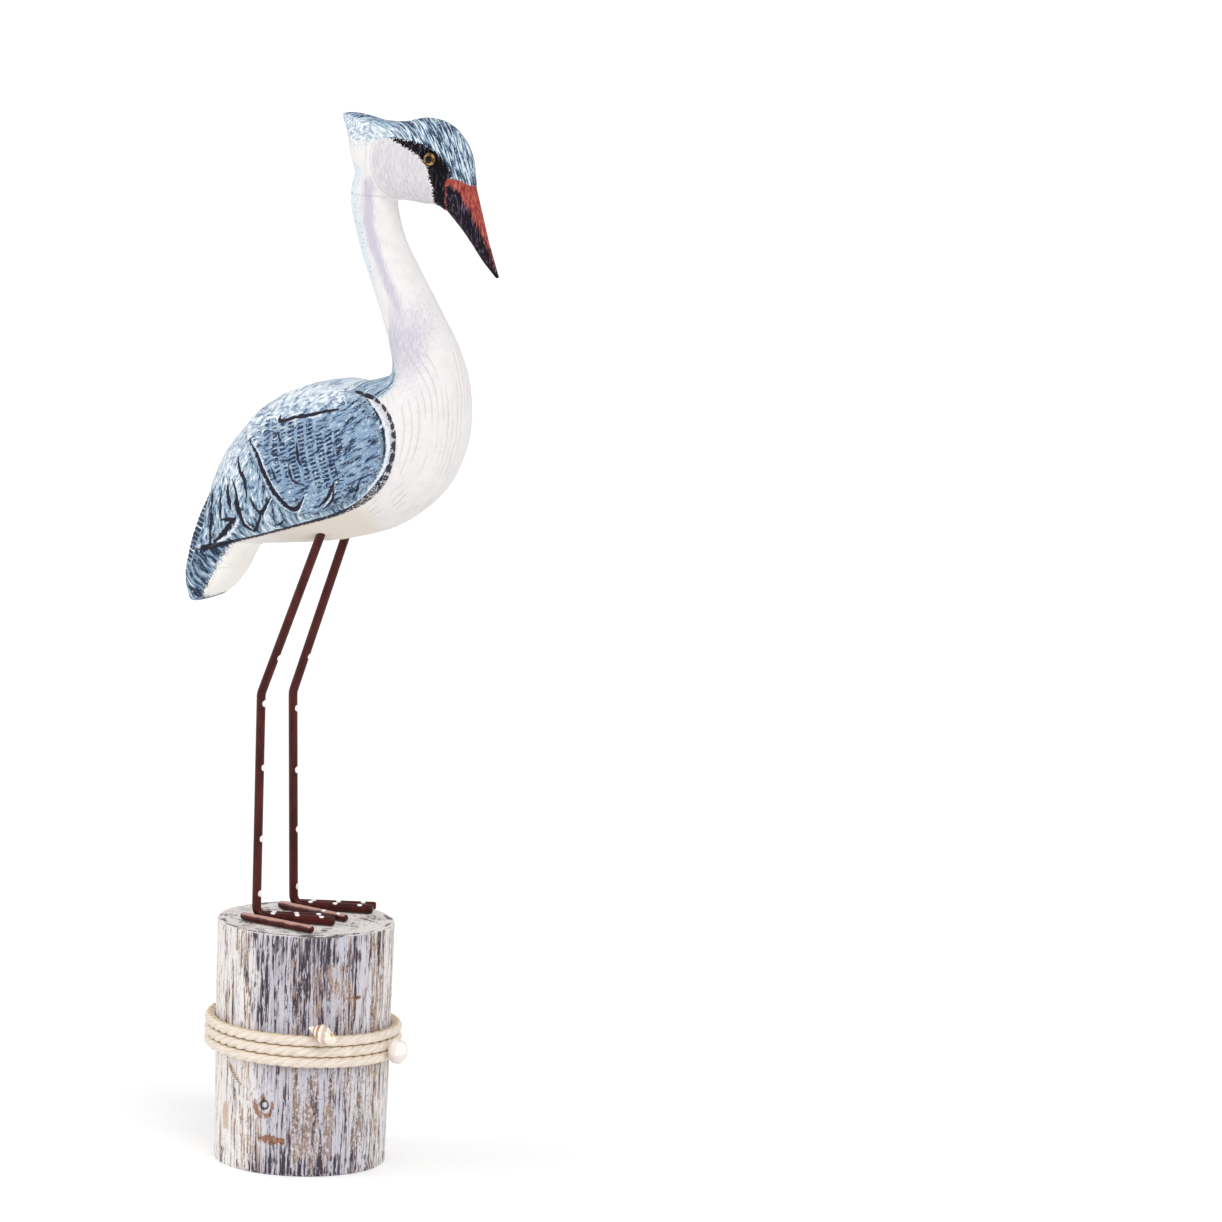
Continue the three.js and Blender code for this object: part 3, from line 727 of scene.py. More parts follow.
    # The skin moved out and in, and how high each spot stands over what is round it
    coarse = softened(mesh, height[:, None], 10)[:, 0]
    near = softened(mesh, height[:, None], 2)[:, 0]
    relief = 0.6 * (height - coarse) + 0.4 * (near - coarse)
    height = softened(mesh, height[:, None], 1)[:, 0]
    put_places(mesh, places_of(mesh) + normals * height[:, None] * MM)

    # Tones of the paint: the pale dry brush, dark wash, the neck's edge, painted shade on the neck and
    # cheek, and cream that is also painted shade below, with painted light under the tail
    mask = np.where(on_head | (z > 440) & (x > 50), within(MASK, 80), OUTSIDE)
    head_frost = ramp(-x, -54, -30) * (1 - 0.9 * head_top)
    facing_back = ramp(normals[:, 2] * 0.6 - normals[:, 0] * 0.5, 0.1, 0.7)
    body_frost = np.maximum(facing_back, ramp(-x, 10, 34) * ramp(z, 303, 325)) * ramp(z, 294, 316)
    frost = np.where(on_head, head_frost, body_frost)
    frost *= (1 - in_strip) * (1 - 0.75 * ramp(x, 18, 30) * ~on_head)
    wash = np.clip(0.55 * near_gouge * (0.8 + 0.6 * sway_fine), 0, 0.8)
    broken = 0.5 + 0.5 * np.sin(round_wing * 125 + 2.5 * sway)
    blocks = border * np.where((x > 18) & (z > 325), 0.45 + 0.65 * ramp(broken, 0.12, 0.4), 1)
    blocks *= 1 - 0.42 * ramp(x, 22, 29) * ramp(-z, -332, -325)
    dark = np.maximum(1.25 * gouged, 1.1 * blocks)
    dark -= 1 - ramp(dark, 0, 0.3)
    nape = np.where((z > 376) & (z < 471) & (cheek < 0), -left_of(NAPE_EDGE), OUTSIDE)
    nape = 2 * ramp(nape, -1.0, 1.5) * ramp(-z, -474, -464) - 1.6
    # Painted shade: lilac-grey down the side of the neck where it turns from the light, under the cheek's
    # edge, over the cheek and low on the neck
    from_painted_shade, share, _ = line_distance(flat, through(NECK_PAINTED_SHADE, 40))
    painted_shade = bump(from_painted_shade, 3.6 + 1.6 * sway) * (cheek < 0) * (z < 470)
    painted_shade *= np.interp(share, [0, 0.1, 0.6, 0.85, 1], [0.8, 1, 0.8, 0.5, 0])
    painted_shade = np.maximum(painted_shade, 0.5 * bump(cheek + 0.9, 0.9) * (z < 458) * (x < 60))
    painted_shade = np.maximum(painted_shade, 0.55 * ramp(cheek, -0.5, 1.5))
    painted_shade = np.maximum(painted_shade, 0.75 * bump(z - 386, 21) * ramp(-x, -68, -52) * (x > 38))
    # A warm cream tint on the downward faces that is also painted shade, strongest under the belly, and
    # painted tan shade on the cheek; under the tail it runs negative, for painted light
    cream_shade_and_light = ramp(-normals[:, 2], -0.1, 0.7) * ramp(-z, -330, -305)
    cream_shade_and_light *= 0.3 + 0.7 * ramp(x, -20, -6) * ramp(-x, -44, -28)
    cream_shade_and_light = np.maximum(cream_shade_and_light, 0.35 * ramp(cheek, -0.5, 1.5))
    cream_shade_and_light = np.where((x < -24) & (z < 288), -ramp(-x, 24, 32), cream_shade_and_light)
    blue, mask, beak, red = (np.clip(v, OUTSIDE, -OUTSIDE) for v in (blue, mask, beak, red))
    save_vector(mesh, "regions", [blue, mask, beak])
    save_vector(mesh, "strokes", [columns, rows, regular])
    save_vector(mesh, "cover", [dark_share + wash, pale_share - wash, ramp(covert, -0.5, 1.5)])
    save_vector(mesh, "carving", [relief, dark, lips])
    save_vector(mesh, "tones", [frost, cream_shade_and_light, painted_shade])
    save_vector(mesh, "trim", [red, nape, mouth_cut])
    cuts = cheek_cut * ramp(cheek, 0, 1) + groove * breast
    save_vector(mesh, "touches", [2.2 * filler - 1.4, cuts, bump(beak - 0.7, 0.45)])
    bird = bpy.data.objects.new("carved_bird", mesh)
    bpy.context.scene.collection.objects.link(bird)
    for face in mesh.polygons:
        face.use_smooth = True
    return bird


def brushed_acrylic():
    """Acrylic paint brushed on carved limewood: matt, a pale dry brush on the high spots and a dark
    wash left in the cuts, so that each cut reads at a step away."""
    plain = {"Specular_IOR_Level": 0.12, "Roughness": 0.7}
    material, tree, shader = new_material("brushed_acrylic_on_limewood", **plain)
    where = add(tree, "TexCoord", {}, "Object")
    blue_by, mask_by, beak_by, column, row, regular, relief, dark, lips = kept_values(
        tree, "regions", "strokes", "carving"
    )
    frost, cream_shade_and_light, painted_shade, red_by, nape, mouth = kept_values(tree, "tones", "trim")
    dark_share, pale_share, covert, filler, grooves, beak_rim = kept_values(tree, "cover", "touches")
    fine, blotch, bristle = noises(tree, where, (0.9, 1), (5, 1), (0.8, 6))
    # The brush runs along the strokes, so its streaks are laid out in the strokes' own coordinates
    cells = add(tree, "Attribute", {}, "Vector", attribute_name="strokes")
    streaks = []
    for shift, scale in ((0.37, (1.1, 1.45, 0)), (0.81, (1.9, 1.4, 0))):
        placed = add(tree, "Mapping", {"Vector": cells, "Location": (0, 0, shift), "Scale": scale})
        settings = {"Vector": placed, "Scale": 1.0, "Detail": 2.0, "Roughness": 0.5}
        streaks.append(add(tree, "TexNoise", settings))
    brushed, flecks = streaks

    # White ground, warm cream that is also painted shade below and painted light under the tail, painted
    # lilac-grey shade along the neck and over the cheek, the cuts a little darker
    white = coats(
        tree, "#E6E3E2",
        ("#DEDBDC", blotch, 0.35, 0.75),
        # cream that is also painted shade below; painted light under the tail
        ("#D9CFC3", cream_shade_and_light, 0, 1, 0.85),
        ("#F6F2EC", cream_shade_and_light, -0.2, -0.9, 0.9),
        # painted shade, lilac-grey, along the neck and over the cheek
        ("#B0ACC0", painted_shade, 0.1, 0.95, 0.7, bristle, 1.2),
        ("#A6A0AE", relief, -0.03, -0.22, 0.55, fine, 0.08),
        ("#B5AEAC", grooves, 0.3, 1.0, 0.22, fine, 0.5),
        ("#D0E0E7", nape, 0.0, 0.4, 0.7, bristle, 3.0),
        ("#9DBBCB", nape, 0.7, 0.95, 0.7, fine, 4.5),
        ("#71879A", nape, 1.05, 1.2, 0.7, fine, 5.0),
        ("#7F93A6", filler, 0.5, 0.8, 0.7, fine, 5.0),
    )

    # Short strokes, one in each cell of the stroke columns, no two alike
    flat_cells = add(tree, "Mapping", {"Vector": cells, "Scale": (1, 1, 0)})
    chance = add(tree, "VectorMath", {0: flat_cells}, operation="FLOOR")
    chance = add(tree, "TexWhiteNoise", {"Vector": chance}, "Value", noise_dimensions="2D")
    chance = add(tree, "Math", {0: chance, 1: 0.7, 2: 0.7}, operation="MULTIPLY_ADD")
    across = add(tree, "Math", {0: column, 1: 0.5}, operation="PINGPONG")
    across = add(tree, "Math", {0: across, 1: 1.25}, operation="MULTIPLY")
    down = add(tree, "Math", {0: row, 1: 0.5}, operation="PINGPONG")
    stroke = add(tree, "Math", {0: across, 1: down}, operation="MINIMUM")
    for factor in (regular, chance):
        stroke = add(tree, "Math", {0: stroke, 1: factor}, operation="MULTIPLY")

    # Blue: a mid tone, a pale dry brush over it, navy strokes and wash in the cuts
    frosted = coats(
        tree, "#D0DBE4",
        ("#E9EFF3", brushed, 0.50, 0.42),
        ("#7F93AA", flecks, 0.485, 0.42, 0.8),
    )
    inked = add(tree, "Math", {0: frost, 1: -0.65, 2: dark_share}, operation="MULTIPLY_ADD")
    blue = coats(
        tree, "#8DA4B6",
        ("#8099B3", covert, 0, 1),
        ("#A6BCCB", blotch, 0.45, 0.75, 0.7),
        ("#D6E2EC", pale_share, 0.50, 0.75, 0.85, brushed, -4.5),
        ("#BFCFDC", flecks, 0.61, 0.70, 0.55),
        (frosted, frost, 0.3, 0.9, 0.92, brushed, -2.0),
        ("#4A6282", inked, 0.48, 0.80, 0.85, brushed, 4.5),
        ("#4C6488", stroke, 0.10, 0.24, 0.7, brushed, 0.6),
        ("#1F2C44", stroke, 0.20, 0.31, 0.95, flecks, 0.6),
        ("#1F2C3E", inked, 0.86, 1.12, 0.92, brushed, 4.5),
        ("#25324C", relief, -0.05, -0.25, 0.7, fine, 0.1),
        ("#D8E4EE", relief, 0.12, 0.3, 0.5, fine, 0.1),
        ("#1C2533", dark, 0.3, 0.75, 0.92, flecks, 2.5),
        ("#E8EEF4", lips, 0.3, 0.8, 0.8, fine, 4.0),
    )

    # The black mask, brushed with a little grey, and the beak
    black = coat(tree, "#070509", "#544F5E", bristle, 0.53, 0.72)
    rust = coats(tree, "#97403A", ("#C26856", bristle, 0.45, 0.68), ("#5F2B34", bristle, 0.46, 0.36, 0.8))
    bill = coats(
        tree, "#17111A",
        ("#75637A", bristle, 0.5, 0.75),
        (rust, red_by, -0.8, 0.8, 1.0, bristle, 4.0),
        (rust, beak_rim, 0.4, 0.8, 1.0, fine, 0.5),
        ("#070508", mouth, 0.2, 0.8),
    )
    paint = coats(
        tree, white,
        (blue, blue_by, -0.5, 0.5, 1.0, fine, 8.0),
        ("#2A2833", dark, 0.3, 0.75, 0.95, fine, 3.0),
        (black, mask_by, -0.3, 0.3, 1.0, fine, 5.0),
        (bill, beak_by, -0.15, 0.25),
    )
    ridges = add(tree, "Math", {0: bristle, 1: brushed}, operation="ADD")
    finish_material(tree, shader, paint, ridges, 0.2)
    return material


bird = carve_bird()
bird.data.materials.append(brushed_acrylic())
finish_piece(bird, "bird")


# The glass eyes: a flat-backed button with a domed front, set in the socket


def eye_glass():
    """Glass with a painted back: a mottled iris, gold and brown with a dark rim, and a black pupil."""
    material, tree, shader = new_material("painted_back_glass", Roughness=0.06, Specular_IOR_Level=0.22)
    flat = add(tree, "Mapping", {"Vector": add(tree, "TexCoord", {}, "Object"), "Scale": (1, 0, 1)})
    reach = add(tree, "VectorMath", {0: flat, 1: EYE_MIDDLE}, "Value", operation="DISTANCE")
    fleck, cloud = noises(tree, flat, (0.5, 1), (2.4, 1))
    iris = coats(
        tree, "#33240F",
        ("#8E6C34", cloud, 0.38, 0.58, 1.0, fleck, 0.4),
        ("#C7A66A", cloud, 0.56, 0.66, 0.8, fleck, 0.3),
        ("#150B05", reach, 2.6 * MM, 3.2 * MM),
        ("#0A0202", reach, 1.9 * MM, 1.4 * MM),
    )
    finish_material(tree, shader, iris, fleck, 0.01)
    return material


def make_eye(side, material):
    radius, seat, dome = EYE["radius"], EYE["seat"], EYE["dome"]
    profile = [(0, 0), (radius - EYE["edge"], 0), (radius, EYE["edge"])]
    for angle in np.arange(12) / 12 * math.pi / 2:
        profile.append((radius * math.cos(angle), seat + dome * math.sin(angle)))
    profile.append((0, seat + dome))
    bm = new_bmesh()
    spots = []
    for reach, out in profile:
        place = EYE_MIDDLE + Vector((reach, side * (EYE["y"] - seat + out), 0)) * MM
        spots.append(bm.verts.new(place))
    edges = [bm.edges.new(pair) for pair in zip(spots[:-1], spots[1:])]
    turn = {"cent": EYE_MIDDLE, "axis": (0, 1, 0), "angle": math.tau}
    bmesh.ops.spin(bm, geom=spots + edges, steps=40, use_merge=True, **turn)
    close_up(bm)
    return to_piece("button_eye", bm, material)


glass = eye_glass()
for node, side in (("eye_right", -1), ("eye_left", 1)):
    finish_piece(make_eye(side, glass), node)


# The legs and toes: bent rods laid on the post's top

POST = {"height": 113, "top": 41, "foot": 39.8, "edge": 1, "worn": 38.6}
GAP = 0.3  # between pieces that touch
ROD = {"leg": 2.1, "toe": 1.85, "knee_bend": 9, "ankle_bend": 5, "socket": 13, "end": 0.5}
LEGS = {
    # belly and knee as [x, z], the ankle's x, toes as [forward, outward] from the ankle, the dabs of paint
    # on the shin as [height, compass angle], the toe with a painted pale highlight along its top, and its
    # few dabs
    "right": {
        "side": -1, "belly": [8.6, 292.4], "knee": [-18.2, 219.4], "ankle": -17.6, "middle": [36.2, -8],
        "outer": [[-5.7, 3.1], [35.4, 13.3]], "inner": [[-1, -4.5], [30.5, -15.4]],
        "dabs": [[237, 0], [215, -14], [185, -8], [151.7, -10], [126, -16]],
        "painted_highlight": "outer", "tip_dabs": (),
    },
    "left": {
        "side": 1, "belly": [5.3, 287], "knee": [-18.2, 215.5], "ankle": -14.8, "middle": [36.3, 9.4],
        "outer": [[-1, 4.5], [33.5, 18.9]], "inner": [[-5.6, -3.1], [34.4, -14.6]],
        "dabs": [[233, 4], [208, -6], [179, -8], [151, 2], [124, 0]],
        "painted_highlight": "inner", "tip_dabs": (0.68, 0.9),
    },
}
LEG_OFFSET = 16.5
DAB = {"long": 2.0, "wide": 1.5, "thick": 0.25}
TOE_DAB = {"long": 1.5, "wide": 1.0}
TOE_DABS = (0.22, 0.53, 0.84)  # shares along a toe


def lacquered_steel():
    """Steel rod dipped in dark red-brown lacquer: satin, slightly uneven, with dabs of white paint and a
    painted pink highlight along one toe's top.
    """
    material, tree, shader = new_material("lacquered_steel_rod", Roughness=0.34, Specular_IOR_Level=0.2)
    where = add(tree, "TexCoord", {}, "Object")
    dab, painted_highlight, _ = kept_values(tree, "dabs")
    fine, blotch = noises(tree, where, (0.7, 1), (6, 3))
    paint = coats(
        tree, "#3A0F0B",
        ("#4E1A13", blotch, 0.4, 0.6),
        ("#220807", fine, 0.45, 0.35, 0.6),
        # painted highlight: pale pink along the top of the highlit toe
        ("#C79A90", painted_highlight, 0.3, 0.9, 0.85, blotch, 1.5),
        ("#F2F0F2", dab, 0.15, 0.3, 1.0, fine, 0.25),
    )
    finish_material(tree, shader, paint, fine, 0.08)
    return material


def bent_path(corners, bends, step=0.55):
    """Points a short step apart along straight runs, with a rounded corner of each given radius."""
    path = [corners[0]]
    for i, bend in enumerate(bends, 1):
        corner = corners[i]
        back = (corners[i - 1] - corner) / np.linalg.norm(corners[i - 1] - corner)
        on = (corners[i + 1] - corner) / np.linalg.norm(corners[i + 1] - corner)
        cut = bend * math.tan((math.pi - math.acos(float(back @ on))) / 2)
        for t in np.linspace(0, 1, 13):
            path.append(corner + back * cut * (1 - t) ** 2 + on * cut * t**2)
    path.append(corners[-1])
    path = np.array(path)
    reached = np.r_[0, np.cumsum(np.linalg.norm(np.diff(path, axis=0), axis=1))]
    even = np.linspace(0, reached[-1], int(reached[-1] / step))
    return np.stack([np.interp(even, reached, column) for column in path.T], 1)


def rod_piece(name, path, radius, dabs, material, painted_highlight=False):
    """A rod along a path, its ends just rounded, with dabs as [place, direction out, direction along,
    sizes]."""
    steps = np.arange(len(path))
    to_end = np.minimum(steps, steps[::-1]) * np.linalg.norm(path[1] - path[0])
    radii = radius - ROD["end"] * (1 - ramp(to_end, 0, 1.1) ** 0.5)
    bm = new_bmesh()
    bent_grid(bm, tube_shape(path, radii), 24, len(path) - 1)
    close_up(bm)
    rod = to_piece(name, bm, material)
    spots = places_of(rod.data) / MM
    normals = normals_of(rod.data)
    dabbed = np.zeros(len(spots))
    for place, out, along, dab in dabs:
        off = spots - (np.array(place) + radius * np.array(out))
        lengthwise = off @ along
        sideways = np.linalg.norm(off - lengthwise[:, None] * along, axis=1)
        inside = 1 - np.hypot(lengthwise / dab["long"], sideways / dab["wide"])
        dabbed = np.maximum(dabbed, inside)
    raised = DAB["thick"] * ramp(dabbed, 0, 0.5)
    put_places(rod.data, (spots + normals * raised[:, None]) * MM)
    # Painted highlight: on the highlit toe, the faces turned up, a little forwards and to the bird's right,
    # go pale
    pale = ramp(normals @ np.array([0.1, -0.3, 0.95]), 0.45, 0.95) * painted_highlight
    save_vector(rod.data, "dabs", [dabbed, pale, dabbed * 0])
    return rod


def make_leg(name, leg, material):
    side = leg["side"]

    def on_post(place, radius):
        forward, outward = place
        above = POST["height"] + GAP + radius
        return np.array([leg["ankle"] + forward, side * (LEG_OFFSET + outward), above])

    def toe_dabs(heel, tip, shares):
        run = (tip - heel) / np.linalg.norm(tip - heel)
        out = np.array([0.2, -0.45, 0.87])
        return [(heel + (tip - heel) * share, out - run * (out @ run), run, TOE_DAB) for share in shares]

    belly, knee = (np.array([leg[k][0], side * LEG_OFFSET, leg[k][1]]) for k in ("belly", "knee"))
    ankle = on_post((0, 0), ROD["leg"])
    tip = on_post(leg["middle"], ROD["leg"])
    top = belly + (belly - knee) / np.linalg.norm(belly - knee) * ROD["socket"]
    path = bent_path([top, knee, ankle, tip], [ROD["knee_bend"], ROD["ankle_bend"]])
    dabs = toe_dabs(ankle, tip, TOE_DABS)
    for height, compass in leg["dabs"]:
        a, b = (knee, belly) if height > knee[2] else (ankle, knee)
        run = (b - a) / np.linalg.norm(b - a)
        angle = math.radians(compass)
        place = a + (b - a) * (height - a[2]) / (b[2] - a[2])
        dabs.append((place, (math.cos(angle), math.sin(angle), 0), run, DAB))
    rod = rod_piece(f"rod_leg_{name}", path, ROD["leg"], dabs, material)
    finish_piece(rod, f"leg_{name}")
    for toe in ("outer", "inner"):
        heel, tip = (on_post(end, ROD["toe"]) for end in leg[toe])
        path = bent_path([heel, tip], [])
        painted_highlight = toe == leg["painted_highlight"]
        dabs = toe_dabs(heel, tip, leg["tip_dabs"] if painted_highlight else TOE_DABS)
        rod = rod_piece(f"rod_toe_{toe}_{name}", path, ROD["toe"], dabs, material, painted_highlight)
        finish_piece(rod, f"toe_{toe}_{name}")


lacquer = lacquered_steel()
for name, leg in LEGS.items():
    make_leg(name, leg, lacquer)


# The post: a sawn round of softwood, whitewashed and rubbed back

# Marks on the bark side, as compass angle and height in mm: dark and brown streaks as
# [angle, top, foot, width, darkness, brownness]
POST_STREAKS = [
    [-91, 112, 76, 1.6, 1, 0], [-79, 112, 96, 2.4, 1, 0.2], [-84, 112, 100, 1.2, 0.8, 0],
    [-98, 112, 92, 1.6, 0.8, 0.2], [-71, 112, 100, 1.4, 0.9, 0], [-64, 111, 97, 1.6, 1, 0],
    [-56, 112, 99, 1.8, 0.9, 0], [-49, 113, 101, 3.0, 1, 0], [-43, 113, 98, 2.4, 1, 0],
    [-36, 112, 96, 1.3, 0.8, 0], [-29.5, 112, 88, 1.5, 1, 0], [-22, 112, 104, 1.6, 0.8, 0],
    [-104, 112, 70, 1.0, 0.5, 0.5], [-88, 96, 60, 1.0, 0.6, 0.4], [-70, 100, 66, 1.2, 0.6, 0.6],
    [-48, 99, 84, 7.0, 0, 1], [-53, 90, 70, 3.0, 0.3, 0.9], [-62, 98, 80, 2.0, 0.2, 0.8],
    [-126, 112, 88, 1.0, 0, 0.9], [-112, 112, 101, 1.8, 0.1, 1], [-119, 108, 76, 0.8, 0, 0.6],
    [-9, 112, 84, 4.5, 0.2, 0.7], [-38, 99, 80, 1.6, 0.2, 0.8], [-114, 37, 10, 1.1, 0.1, 1],
    [-62.3, 31, 13, 1.5, 0.3, 1], [-56, 38, 12, 2.4, 0.2, 0.6], [-44, 42, 8, 2.0, 0.2, 0.6],
    [-100, 30, 6, 1.4, 0.4, 0.6], [-30, 46, 12, 1.6, 0.3, 0.5], [-92.5, 27, 13, 1.8, 0.2, 1],
    [-72, 16, 2, 1.4, 0.8, 0.4], [-22, 40, 4, 1.5, 0.4, 0.4], [-50, 24, 2, 1.2, 0.7, 0.4],
    [-8, 44, 6, 1.3, 0.3, 0.5], [-80, 62, 40, 1.2, 0.4, 0.4],
]
# How bare the wood is round the post, from well covered at 0, at compass angles and at heights
BARE_ROUND = ([-180, -150, -120, -98, -80, -50, -25, 10, 60, 110, 150, 180],
              [0.25, 0.1, 0.15, 0.5, 0.85, 0.9, 0.65, 0.35, 0.4, 0.5, 0.35, 0.25])
BARE_HEIGHT = ([0, 14, 40, 62, 80, 100, 113], [1.0, 0.9, 0.85, 0.85, 0.9, 1.0, 1.0])
DARK_HEIGHT = ([0, 14, 62, 80, 113], [0.75, 0.48, 0.5, 0.6, 0.72])
KNOT = {"angle": -89, "height": 32.7, "eye": 1.1, "ring": 4.6}
OVAL = {"angle": -124.3, "height": 23.6, "tall": 7.2, "wide": 2.9}
CROSS = {"angle": -30, "height": 83.4, "long": 5.4, "tall": 5.5, "thick": 0.9}
CHECK = {"from": [-124.2, 49.7], "to": [-108.4, 40], "wide": 1.4, "deep": 1.1}
PATCH = {"angle": -83, "height": 16.6, "tall": 2.4, "wide": 7}
TOP_CHECKS = [  # cracks in the sawn end as [x, y] from and to
    [[10, -36], [29, -24]], [[22, -30], [37, -12]], [[2, -26], [30, -14]], [[-34, -14], [-8, -24]],
    [[14, 20], [36, 8]], [[-30, 8], [-4, 16]], [[-12, -37], [6, -33]], [[20, -35.5], [33, -24]],
    [[30, -26], [39, -10]], [[14, -37.5], [25, -31]],
]
RINGS = {"middle": (-5, 3), "wide": 2.6}
FULL = 1.15  # a streak at its strongest, a little over 1 so that the noise can't tear it quite open


def post_skin(material):
    """The post as it is turned and sawn, finest on its wall and on its sawn top."""
    height, edge = POST["height"], POST["edge"]
    below = [[r, 0] for r in (0, 10, 20, 30, 36)]
    foot = [[POST["foot"] - edge * (1 - math.sin(a)), edge * (1 - math.cos(a))]
            for a in np.linspace(0, math.pi / 2, 4)]
    wall = [[POST["foot"] + (POST["top"] - POST["foot"]) * t, height * t]
            for t in np.linspace(0.015, 0.985, 132)]
    brim = [[POST["top"] - edge * (1 - math.cos(a)), height - edge * (1 - math.sin(a))]
            for a in np.linspace(0, math.pi / 2, 5)]
    top = [[r, height] for r in np.linspace(POST["top"] - 1.8, 0, 44)]
    rows = np.array(below + foot + wall + brim + top)

    def shape(around, along):
        row = np.rint(along * (len(rows) - 1)).astype(int)
        angle = around * 2 * np.pi
        return np.stack([rows[row, 0] * np.cos(angle), rows[row, 0] * np.sin(angle), rows[row, 1]], 1)

    bm = new_bmesh()
    bent_grid(bm, shape, 380, len(rows) - 1)
    close_up(bm)
    return to_piece("whitewashed_post", bm, material)


def sawn_end(spots, broad):
    """Cracks, and how dark the sawn end is with its growth rings, cracks, worn brim and scuffs."""
    x, y, _ = spots.T
    from_pith = np.hypot(x - RINGS["middle"][0], y - RINGS["middle"][1]) + 1.5 * noise(spots, 12, 90)
    rings = np.sin(from_pith / RINGS["wide"] * 2 * np.pi)
    cracks = np.zeros(len(x))
    uneven = 0.5 * np.abs(noise(spots, 3, 95))
    for both_ends in TOP_CHECKS:
        distance, share, _ = line_distance(spots[:, :2], through(both_ends, 12))
        cracks = np.maximum(cracks, ramp(0.8 * thin_ended(share, 0.03) - distance - uneven, -0.5, 0.1))
    worn = bump(np.hypot(x, y) - POST["worn"] - 0.8 * broad, 0.8) * ramp(noise(spots, 8, 97), -0.4, 0.3)
    scuffed = 0.4 * ramp(noise(spots, 5, 98, 2), 0.1, 0.5)
    return cracks, np.clip(0.35 * ramp(rings, 0.5, 1) + cracks + worn + scuffed, 0, 1)


